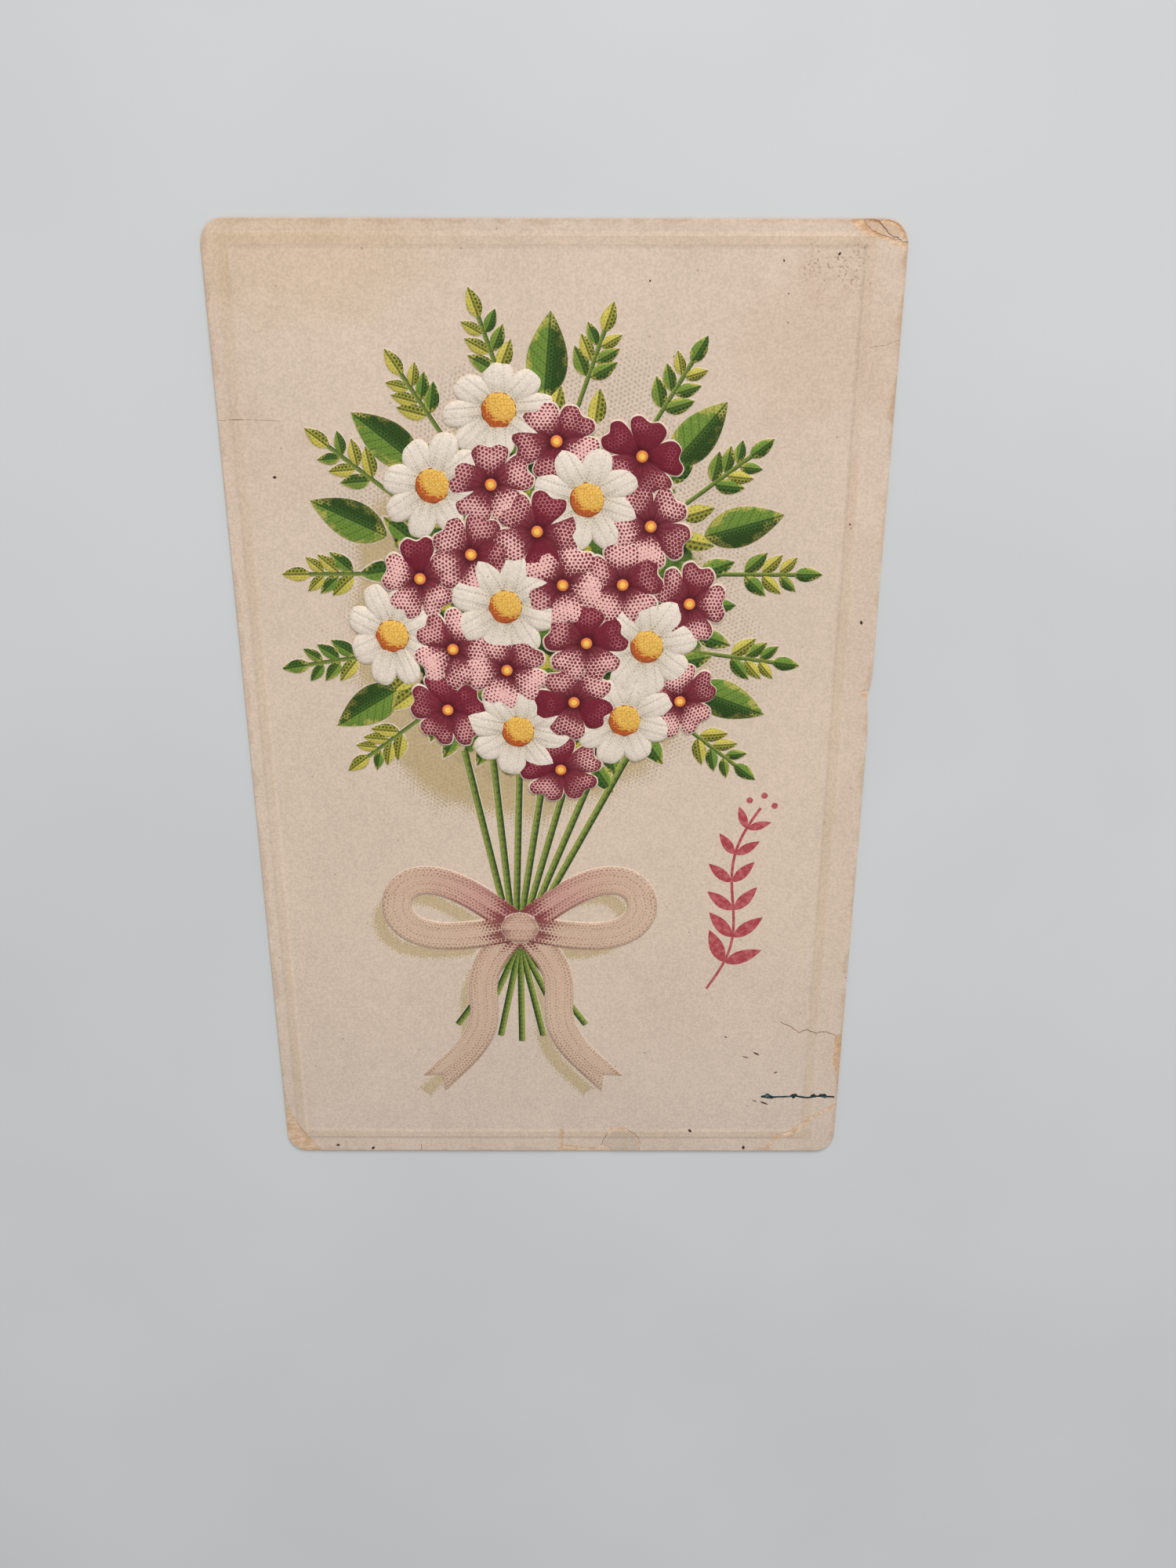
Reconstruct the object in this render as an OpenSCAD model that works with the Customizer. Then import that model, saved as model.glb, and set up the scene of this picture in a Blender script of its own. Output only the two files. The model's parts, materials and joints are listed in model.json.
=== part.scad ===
// Embossed greeting postcard, one sheet of card stock pressed between two dies.
// It lies on its back: picture side up, top of the picture towards +Y.

/* [Card stock] */
// Width of the card across the picture
card_w = 88.9; // [84:0.1:110]
// Height of the card along the picture
card_h = 139.7; // [136:0.1:160]
// Thickness of the stock
stock_t = 0.45; // [0.35:0.05:0.8]
// Radius the four corners are worn to
corner_r = 3; // [1:0.1:5]

/* [Border band] */
// Width of the raised band at its foot
band_w = 1.7; // [0.8:0.1:2.4]
// Width of the flat top of the band
band_top_w = 0.9; // [0.3:0.1:1.4]
// Height of the band over the face
band_rise = 0.12; // [0.05:0.01:0.3]
// Middle of the band from the left edge, which the trimming left narrow
band_left = 2.6; // [1.6:0.1:6]
// Middle of the band from the right edge
band_right = 5.7; // [1.6:0.1:6]
// Middle of the band from the top edge
band_top = 2.7; // [1.6:0.1:6]
// Middle of the band from the bottom edge
band_bottom = 3.5; // [1.6:0.1:6]

/* [Posy head] */
// Middle of the flower head, across the card
head_x = -1.5; // [-4:0.5:2]
// Middle of the flower head, along the card
head_y = 21; // [16:0.5:24]
// Width over the middles of the outermost flowers
head_w = 46; // [38:0.5:50]
// Height over the middles of the outermost flowers
head_h = 54; // [44:0.5:58]
// Number of flowers in the head
flower_count = 25; // [16:1:25]
// Turn of the spiral the flowers sit on
head_turn = 45; // [0:5:355]
// Places on the spiral that hold a white flower
white_seats = [1, 8, 10, 12, 15, 19, 22, 24];
// Rise of the whole head at its middle
head_swell = 0.34; // [0.1:0.02:0.5]
// Share by which the flowers at the rim are drawn narrower, as on a ball
rim_turn = 0.2; // [0:0.02:0.35]

/* [Mauve blossom] */
// Petals of a mauve blossom
blossom_petals = 5; // [4:1:5]
// Length of a petal from the middle of the blossom
petal_l = 6; // [4:0.1:7]
// Width of a petal
petal_w = 5.6; // [3.5:0.1:6.5]
// Height of a petal over the edge it rises from
petal_dome = 0.28; // [0.1:0.02:0.4]
// Radius of the throat
throat_r = 0.9; // [0.5:0.1:1.5]

/* [White flower] */
// Petals of a white flower
ray_count = 8; // [6:1:8]
// Length of a white petal from the middle of the flower
ray_l = 7.4; // [5:0.1:8.5]
// Width of a white petal
ray_w = 4.2; // [2.5:0.1:5]
// Height of a white petal over the edge it rises from
ray_dome = 0.24; // [0.1:0.02:0.4]
// Radius of the yellow button
button_r = 2.3; // [1.5:0.1:3]
// Height of the button over the petals' edge
button_dome = 0.42; // [0.2:0.02:0.6]

/* [Foliage] */
// Number of sprigs round the head
sprig_count = 12; // [6:1:12]
// Angle of the first sprig, from the right
sprig_from = -38; // [-45:1:-20]
// Angle the sprigs are spread over
sprig_sweep = 256; // [200:2:270]
// Angle of a leaflet to its sprig
leaflet_turn = 42; // [25:1:60]
// Length of a sprig
sprig_l = 14.5; // [9:0.5:16]
// Pairs of leaflets on a sprig
leaflet_pairs = 3; // [2:1:3]
// Length of a leaflet
leaflet_l = 3.9; // [2.5:0.1:4.5]
// Width of a leaflet
leaflet_w = 2; // [1.2:0.1:2.6]
// Number of broad leaves under the head
leaf_count = 7; // [4:1:8]
// Length of a broad leaf
leaf_l = 11; // [7:0.5:13]
// Width of a broad leaf
leaf_w = 5.4; // [3:0.1:7]
// Angle a broad leaf leans off the ray from the head's middle
leaf_lean = 5; // [0:1:12]
// Height of the leaves
leaf_dome = 0.22; // [0.1:0.02:0.3]

/* [Stems] */
// Number of stems
stem_count = 7; // [3:1:7]
// Width of a stem
stem_w = 1; // [0.6:0.1:1.6]
// Height of a stem
stem_rise = 0.2; // [0.1:0.02:0.3]
// Spread of the stems under the head
stem_spread_top = 24; // [12:1:30]
// Spread of the stems at their cut ends
stem_spread_end = 20; // [12:1:26]
// Length of a stem's top hidden in the head
stem_in = 5.5; // [2:0.5:8]
// Cut ends of the stems below the tie
stem_end = 20; // [14:1:24]

/* [Ribbon] */
// Place of the tie across the card
tie_x = -6; // [-10:0.5:2]
// Place of the tie along the card
tie_y = -29; // [-32:0.5:-26]
// Width of the ribbon
ribbon_w = 4.4; // [3:0.1:5.5]
// Height of the ribbon over the face
ribbon_rise = 0.26; // [0.1:0.02:0.35]
// Length of a loop of the bow
loop_l = 19; // [12:0.5:22]
// Width of a loop of the bow
loop_w = 9; // [6:0.5:12]
// Slope of the loops
loop_slope = 14; // [0:1:30]
// Length of a tail
tail_l = 28; // [18:0.5:30]
// Distance a tail swings out
tail_swing = 13; // [6:0.5:16]
// Depth of the notch cut into a tail's end
tail_notch = 2.2; // [0.5:0.1:3]
// Width of the knot
knot_w = 5.6; // [4:0.1:7]
// Height of the knot along the card
knot_h = 5; // [3.5:0.1:6]
// Height of the knot over the ribbon
knot_dome = 0.16; // [0.06:0.02:0.3]

/* [Pressed back] */
// Share of the head's rise that shows as a hollow in the back
hollow_share = 0.85; // [0.5:0.05:0.9]
// Depth of the dent behind each flower, below the head's hollow
dent_d = 0.12; // [0.04:0.02:0.2]

/* [Wear] */
// Depth of the worn notch in the right edge
notch_d = 0.45; // [0.1:0.05:0.8]
// Length of the worn notch
notch_l = 4.5; // [2:0.5:7]
// Place of the notch along the card
notch_y = 7; // [-20:0.5:20]
// Depth of the surface layer where it has flaked off
flake_d = 0.1; // [0.04:0.02:0.2]
// Size of the rubbed lower left corner along each edge
rub_corner = 6.4; // [3:0.1:9]
// Upper end of the strip flaked off the right edge
flake_y = -48.2; // [-55:0.1:-30]
// Length of the strip flaked off the right edge
flake_l = 8; // [4:0.5:12]
// Width of the strip flaked off the right edge
flake_w = 1.1; // [0.5:0.1:2]
// Left end of the flaked place at the bottom edge
chip_x = 0; // [-20:0.5:15]
// Width of the flaked place at the bottom edge
chip_l = 12.6; // [6:0.1:16]
// Height of the flaked place at the bottom edge
chip_h = 4.2; // [2:0.1:5]
// Crease of the lower right corner, from the corner along the bottom edge
dog_x = 11; // [6:0.5:14]
// Crease of the lower right corner, from the corner along the right edge
dog_y = 8.4; // [5:0.1:12]
// Depth of the crease
dog_d = 0.08; // [0.02:0.02:0.2]
// Width of the crease
dog_w = 0.5; // [0.2:0.1:1]

/* [Hidden] */
$fn = 8;
face = stock_t;
foot = stock_t / 2;
golden = 137.508;
left_x = -card_w / 2 + band_left;
right_x = card_w / 2 - band_right;
top_y = card_h / 2 - band_top;
low_y = -card_h / 2 + band_bottom;
// Height of a petal's edge over what it lies on, and of each petal over the one before
petal_edge = 0.1;
overlap = 0.012;
// Depth that a low form reaches into the sheet below it
sink = 0.02;

// Distance of a flower from the middle of the head, as a share of the head
function seat_r(k) = sqrt((k + 0.5) / flower_count);
function seat_a(k) = k * golden + head_turn;
function seat(k) = [head_x + head_w / 2 * seat_r(k) * cos(seat_a(k)),
                    head_y + head_h / 2 * seat_r(k) * sin(seat_a(k))];
function is_white(k) = len(search(k, white_seats)) > 0;
function lift(k) = head_swell * (1 - seat_r(k) * seat_r(k));

// Points along the ribbon: a loop of the bow and a tail
function loop_pt(t) = [loop_l * sin(180 * t), loop_w / 2 * sin(360 * t)];
function tail_pt(t) = [tail_swing * t + 2 * sin(400 * t), -tail_l * t];
function turned(p, a) = [p[0] * cos(a) - p[1] * sin(a), p[0] * sin(a) + p[1] * cos(a)];
function normal(a, b) = let (d = b - a) [-d[1], d[0]] / norm(d);
function path_normal(path, i) = normal(path[max(i - 1, 0)], path[min(i + 1, len(path) - 1)]);
function side(path, w) = [for (i = [0 : len(path) - 1]) path[i] + path_normal(path, i) * w / 2];

// A raised lobe over a ring of points. Each ring point leans to the ridge point named in link.
module lobe(ring, ridge, link, rim, top) {
    n = len(ring);
    points = concat([for (p = ring) [p[0], p[1], foot]],
                    [for (p = ring) [p[0], p[1], face + rim]],
                    [for (p = ridge) [p[0], p[1], face + top]]);
    walls = [for (i = [0 : n - 1]) [i, (i + 1) % n, n + (i + 1) % n, n + i]];
    slopes = [for (i = [0 : n - 1]) [n + i, n + (i + 1) % n, 2 * n + link[i]]];
    turns = [for (i = [0 : n - 1]) let (j = (i + 1) % n) if (link[i] != link[j])
             [n + j, 2 * n + link[j], 2 * n + link[i]]];
    crown = len(ridge) > 2 ? [[for (i = [0 : len(ridge) - 1]) 2 * n + i]] : [];
    sole = [[for (i = [n - 1 : -1 : 0]) i]];
    faces = concat(walls, slopes, turns, crown, sole);
    polyhedron(points, [for (f = faces) [for (i = [len(f) - 1 : -1 : 0]) f[i]]]);
}

// A raised lobe with a rounded top between two points
module rib(a, b, w, top) {
    hull() {
        for (p = [a, b]) {
            translate([p[0], p[1], foot]) cylinder(d = w, h = face - foot, $fn = 4);
            translate([p[0], p[1], foot]) cylinder(d = w * 0.4, h = face + top - foot, $fn = 4);
        }
    }
}

// Outline of the trimmed sheet with its worn corners and notch
module sheet_outline() {
    difference() {
        hull() {
            for (sx = [-1, 1], sy = [-1, 1]) {
                translate([sx * (card_w / 2 - corner_r), sy * (card_h / 2 - corner_r)])
                    circle(r = corner_r, $fn = 24);
            }
        }
        translate([card_w / 2, notch_y]) scale([notch_d, notch_l / 2]) circle(r = 1, $fn = 16);
    }
}

// One straight run of the border band between two corners
module band_run(a, b) {
    hull() {
        for (p = [a, b]) {
            translate([p[0], p[1], foot]) cylinder(d = band_w, h = face - foot + 0.001, $fn = 4);
            translate([p[0], p[1], foot]) cylinder(d = band_top_w, h = face + band_rise - foot, $fn = 4);
        }
    }
}

module border_band() {
    corners = [[left_x, low_y], [right_x, low_y], [right_x, top_y], [left_x, top_y]];
    for (i = [0 : 3]) {
        band_run(corners[i], corners[(i + 1) % 4]);
    }
}

// The trimmed sheet with its raised band
module stock() {
    linear_extrude(stock_t) sheet_outline();
    border_band();
}

// Low button that closes the middle of a flower
module button(r, rim, top) {
    translate([0, 0, foot]) hull() {
        cylinder(r = r, h = face + rim - foot);
        cylinder(r = r * 0.55, h = face + top - foot);
    }
}

// Heart-shaped petal along +X
module heart_petal(l, w, rim, top) {
    lobe([[0, 0], [l * 0.45, -w * 0.38], [l * 0.82, -w * 0.5], [l, -w * 0.26],
          [l * 0.88, 0], [l, w * 0.26], [l * 0.82, w * 0.5], [l * 0.45, w * 0.38]],
         [[l * 0.35, 0], [l * 0.74, -w * 0.22], [l * 0.74, w * 0.22]],
         [0, 1, 1, 1, 2, 2, 2, 2], rim, top);
}

// Long round-ended petal along +X
module long_petal(l, w, rim, top) {
    lobe([[l * 0.2, -w * 0.2], [l * 0.68, -w * 0.5], [l, -w * 0.26],
          [l, w * 0.26], [l * 0.68, w * 0.5], [l * 0.2, w * 0.2]],
         [[l * 0.38, 0], [l * 0.78, 0]],
         [0, 1, 1, 1, 1, 0], rim, top);
}

// Pointed leaf along +X, with its sides sloping up to a midrib
module leaf(l, w, top) {
    ring = [[0, 0], [l * 0.28, -w * 0.44], [l * 0.58, -w * 0.42],
            [l, 0], [l * 0.58, w * 0.42], [l * 0.28, w * 0.44]];
    midrib = [[l * 0.28, 0], [l * 0.64, 0]];
    polyhedron(concat([for (p = ring) [p[0], p[1], face - sink]],
                      [for (p = midrib) [p[0], p[1], face + top]]),
               [[0, 1, 2, 3, 4, 5], [1, 0, 6], [2, 1, 6, 7], [3, 2, 7], [4, 3, 7], [5, 4, 7, 6], [0, 5, 6]]);
}

// Mauve blossom: heart-shaped petals round a throat
module blossom(base) {
    for (i = [0 : blossom_petals - 1]) {
        rotate(i * 360 / blossom_petals)
            heart_petal(petal_l, petal_w, base + overlap * i, base + overlap * i + petal_dome);
    }
    rotate(23) button(throat_r, base, base + petal_dome * 1.1, $fn = 5);
}

// White flower: long petals round a yellow button
module white_flower(base) {
    for (i = [0 : ray_count - 1]) {
        rotate(i * 360 / ray_count)
            long_petal(ray_l, ray_w, base + overlap * i, base + overlap * i + ray_dome);
    }
    rotate(11) button(button_r, base, base + button_dome, $fn = 9);
}

module flower(k) {
    base = lift(k) + petal_edge;
    narrow = 1 - rim_turn * seat_r(k) * seat_r(k);
    translate(seat(k)) rotate(seat_a(k)) scale([narrow, 1, 1]) rotate(seat_a(k) * 0.4) {
        if (is_white(k)) {
            white_flower(base);
        } else {
            blossom(base);
        }
    }
}

// Low swelling that the flowers stand on
module head_bed(rise, grow) {
    hull() {
        for (step = [0 : 3]) {
            r = 1 - step * 0.22;
            translate([head_x, head_y, 0]) scale([head_w / 2 + grow, head_h / 2 + grow, 1])
                cylinder(r = r, h = rise * (1 - r * r) + 0.03, $fn = 20);
        }
    }
}

// Sprig along +X with leaflets in pairs and one at its tip
module sprig(l) {
    rib([0, 0], [l - leaflet_l, 0], stem_w * 0.6, stem_rise * 0.7);
    for (j = [1 : leaflet_pairs], s = [-1, 1]) {
        size = 1.15 - 0.12 * j;
        along = (l - leaflet_l) * (0.25 + 0.68 * j / leaflet_pairs) - 1.5;
        translate([along, s * 0.3, 0]) rotate(s * leaflet_turn)
            leaf(leaflet_l * size, leaflet_w * size, leaf_dome);
    }
    translate([l - leaflet_l - 0.3, 0, 0]) leaf(leaflet_l, leaflet_w, leaf_dome);
}

module foliage() {
    for (i = [0 : sprig_count - 1]) {
        a = sprig_from + sprig_sweep * i / (sprig_count - 1);
        translate([head_x + (head_w / 2 + 1) * cos(a), head_y + (head_h / 2 + 1) * sin(a), 0])
            rotate(a + 9 * sin(i * 130)) sprig(sprig_l * (1 - 0.12 * (i % 2)));
    }
    for (i = [0 : leaf_count - 1]) {
        gap = floor((sprig_count - 1) * (i + 0.5) / leaf_count) + 0.5;
        a = sprig_from + sprig_sweep * gap / (sprig_count - 1);
        translate([head_x + head_w / 2 * cos(a), head_y + head_h / 2 * sin(a), 0])
            rotate(a + leaf_lean * (1 - 2 * (i % 2))) leaf(leaf_l, leaf_w, leaf_dome);
    }
}

module stems() {
    mid = (stem_count - 1) / 2;
    for (i = [0 : stem_count - 1]) {
        u = (i - mid) / mid;
        tie = [tie_x + u * knot_w * 0.3, tie_y];
        up = [head_x + u * stem_spread_top / 2, head_y - head_h / 2 + stem_in];
        down = [tie_x - u * stem_spread_end / 2, tie_y - stem_end * (1 - 0.15 * abs(u))];
        for (p = [up, down]) {
            rib(tie, p, stem_w, stem_rise);
        }
    }
}

// Flat strip along a path, standing over the face by rise
module strip(path, w, rise) {
    l = side(path, w);
    r = side(path, -w);
    for (i = [0 : len(path) - 2]) {
        translate([0, 0, foot]) linear_extrude(face + rise - foot)
            polygon([l[i], r[i], r[i + 1], l[i + 1]]);
    }
}

module bow(w, rise) {
    for (s = [-1, 1]) {
        loop = [for (t = [0.02 : 0.08 : 0.98]) let (p = turned(loop_pt(t), loop_slope)) [s * p[0], p[1]]];
        strip(loop, w, rise);
        difference() {
            tail = [for (t = [0 : 0.125 : 1]) let (p = tail_pt(t)) [s * p[0], p[1]]];
            strip(tail, w, rise * 0.8);
            cut = tail[len(tail) - 1];
            back = normal(tail[len(tail) - 2], cut);
            translate(cut) rotate(atan2(back[1], back[0]) - 90) translate([0, 0, face])
                linear_extrude(2) polygon([[-tail_notch, 0], [0.1, w * 0.6], [0.1, -w * 0.6]]);
        }
    }
}

module tie() {
    translate([tie_x, tie_y, 0]) {
        bow(ribbon_w, ribbon_rise);
        scale([knot_w / 2, knot_h / 2, 1]) button(1, ribbon_rise, ribbon_rise + knot_dome, $fn = 9);
    }
}

// Hollows that the dies pressed into the back
module pressed_back() {
    translate([0, 0, -0.01]) head_bed(head_swell * hollow_share, 2);
    for (k = [0 : flower_count - 1]) {
        r = (is_white(k) ? ray_l : petal_l) * 0.72;
        translate(concat(seat(k), -0.01))
            cylinder(r1 = r, r2 = r * 0.7, h = lift(k) + dent_d, $fn = 5);
    }
}

// Places where the printed surface layer has flaked off
module flaked() {
    translate([0, 0, face - flake_d]) linear_extrude(2) {
        translate([-card_w / 2, -card_h / 2])
            polygon([[-1, -1], [rub_corner * 0.9, -1], [rub_corner * 0.8, 0],
                     [rub_corner * 0.42, rub_corner * 0.66], [0, rub_corner * 1.28],
                     [-1, rub_corner * 1.28]]);
        translate([card_w / 2, flake_y])
            polygon([[1, 0], [-flake_w, -0.2], [-flake_w * 0.9, -flake_l * 0.5],
                     [-flake_w * 0.4, -flake_l * 0.85], [1, -flake_l]]);
        translate([chip_x, -card_h / 2])
            polygon([[0, -1], [0, chip_h * 0.4], [chip_l * 0.5, chip_h * 0.3], [chip_l * 0.7, chip_h],
                     [chip_l * 0.88, chip_h * 0.94], [chip_l, chip_h * 0.4], [chip_l, -1]]);
    }
}

// Crease left where the lower right corner was folded and pressed flat again
module corner_crease() {
    translate([card_w / 2, -card_h / 2, face - dog_d]) hull() {
        for (p = [[1, dog_y + 0.8], [-dog_x * 0.42, dog_y * 0.46], [-dog_x - 1, -0.8]]) {
            translate(p) cylinder(d1 = dog_w * 0.2, d2 = dog_w, h = dog_d, $fn = 5);
            translate(p) cylinder(d = dog_w, h = 1, $fn = 5);
        }
    }
}

module card() {
    color([0.86, 0.77, 0.68]) difference() {
        union() {
            stock();
            translate([0, 0, face - sink]) head_bed(head_swell + sink, 3);
            foliage();
            stems();
            for (k = [flower_count - 1 : -1 : 0]) {
                flower(k);
            }
            tie();
        }
        pressed_back();
        flaked();
        corner_crease();
    }
}

card();
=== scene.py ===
"""Aged, embossed greeting postcard: the struck and printed sheet, its wear, and a plain studio."""

import json
import logging
import math
import random
from dataclasses import dataclass, field
from enum import Enum
from typing import Any, Callable, Sequence

import bmesh
import bpy
from mathutils import Matrix, Vector

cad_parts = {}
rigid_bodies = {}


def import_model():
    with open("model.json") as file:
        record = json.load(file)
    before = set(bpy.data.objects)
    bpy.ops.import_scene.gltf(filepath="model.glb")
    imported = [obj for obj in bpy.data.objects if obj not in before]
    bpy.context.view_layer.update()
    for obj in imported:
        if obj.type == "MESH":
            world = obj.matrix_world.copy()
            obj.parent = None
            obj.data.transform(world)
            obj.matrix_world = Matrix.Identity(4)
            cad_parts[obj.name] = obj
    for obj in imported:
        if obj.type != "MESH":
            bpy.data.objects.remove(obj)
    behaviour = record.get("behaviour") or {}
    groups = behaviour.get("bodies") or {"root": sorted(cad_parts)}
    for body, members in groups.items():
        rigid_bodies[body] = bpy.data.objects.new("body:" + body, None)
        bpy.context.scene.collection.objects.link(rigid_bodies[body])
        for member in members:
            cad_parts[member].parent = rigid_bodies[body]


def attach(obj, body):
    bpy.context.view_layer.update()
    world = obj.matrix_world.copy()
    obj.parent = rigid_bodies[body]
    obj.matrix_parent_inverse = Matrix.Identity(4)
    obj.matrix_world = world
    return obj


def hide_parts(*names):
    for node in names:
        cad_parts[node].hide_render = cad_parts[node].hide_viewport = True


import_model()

LOG = logging.getLogger("postcard")
Point = tuple[float, float]
Ring = tuple[float, float]
Socket = bpy.types.NodeSocket
Piece = bpy.types.Object
Triple = tuple[float, float, float]
Colour = tuple[float, float, float, float]
PRINT_MAP = "Print"
RIM_MAP = "Rim"
MM = 0.001
FILM_DEPTH = 0.1
TIE: Point = (-6.0, -29.0)


class Ink(Enum):
    """The card's finishes, named for what they cover."""

    FACE = "card_face"
    BACK = "card_back"
    EDGE = "cut_edge"
    CORE = "bared_core"
    CRACK = "open_crack"
    MAUVE = "mauve_petal"
    WHITE = "white_petal"
    BUTTON = "flower_button"
    THROAT = "blossom_throat"
    BED = "head_bed"
    SPRIG = "sprig_leaf"
    LEAF = "broad_leaf"
    STEM = "flower_stem"
    RIBBON = "ribbon"
    SHADE = "printed_shade"
    ROSE = "rose_line"
    PEN = "pen_stroke"
    SPECK = "dirt_speck"


class Side(Enum):
    """How a die meets the sheet."""

    RAISED = "raised"
    FILM = "film"
    CUT = "cut"


def colour(red: int, green: int, blue: int) -> Colour:
    """Turn a colour as seen on a screen into the shader's linear one.

    Args:
        red: Red from 0 to 255.
        green: Green from 0 to 255.
        blue: Blue from 0 to 255.

    Returns:
        The linear colour with full alpha.
    """
    parts = []
    for value in (red, green, blue):
        share = value / 255.0
        parts.append(share / 12.92 if share <= 0.04045 else ((share + 0.055) / 1.055) ** 2.4)
    return (parts[0], parts[1], parts[2], 1.0)


def rounded(corners: Sequence[Point], count: int) -> list[Point]:
    """Draw a smooth closed outline through corner points.

    Args:
        corners: The points that the outline passes through, in order.
        count: The number of points wanted.

    Returns:
        The outline's points, evenly shared among the spans.
    """
    total = len(corners)
    points = []
    for step in range(count):
        place = step * total / count
        span = int(place)
        t = place - span
        a, b, c, d = (Vector(corners[(span + k - 1) % total]) for k in range(4))
        p = 0.5 * (2 * b + (c - a) * t + (2 * a - 5 * b + 4 * c - d) * t ** 2
                   + (3 * b - a - 3 * c + d) * t ** 3)
        points.append((p.x, p.y))
    return points


def ragged(corners: Sequence[Point], cuts: int, amount: float, seed: int,
           closed: bool) -> list[Point]:
    """Break the straight runs of an outline into short uneven ones.

    Args:
        corners: The outline's corner points.
        cuts: Points added to each run.
        amount: The most that a point leaves its run, in millimetres.
        seed: Start of the random numbers.
        closed: Whether the last corner joins the first.

    Returns:
        The uneven outline.
    """
    rng = random.Random(seed)
    runs = len(corners) if closed else len(corners) - 1
    points: list[Point] = []
    for i in range(runs):
        a, b = Vector(corners[i]), Vector(corners[(i + 1) % len(corners)])
        points.append((a.x, a.y))
        for k in range(1, cuts + 1):
            p = a.lerp(b, k / (cuts + 1))
            points.append((p.x + rng.uniform(-amount, amount), p.y + rng.uniform(-amount, amount)))
    if not closed:
        points.append(corners[-1])
    return points


def oval(half_w: float, half_h: float, count: int) -> list[Point]:
    """Draw an oval about the origin, anticlockwise.

    Args:
        half_w: Half its width.
        half_h: Half its height.
        count: The number of points wanted.

    Returns:
        The oval's points.
    """
    turns = [math.tau * k / count for k in range(count)]
    return [(half_w * math.cos(a), half_h * math.sin(a)) for a in turns]


def flat_profile(half: float) -> list[Ring]:
    """Give the cross profile of a flat film."""
    return [(-half, 0.0), (0.0, 0.0), (half, 0.0)]


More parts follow.
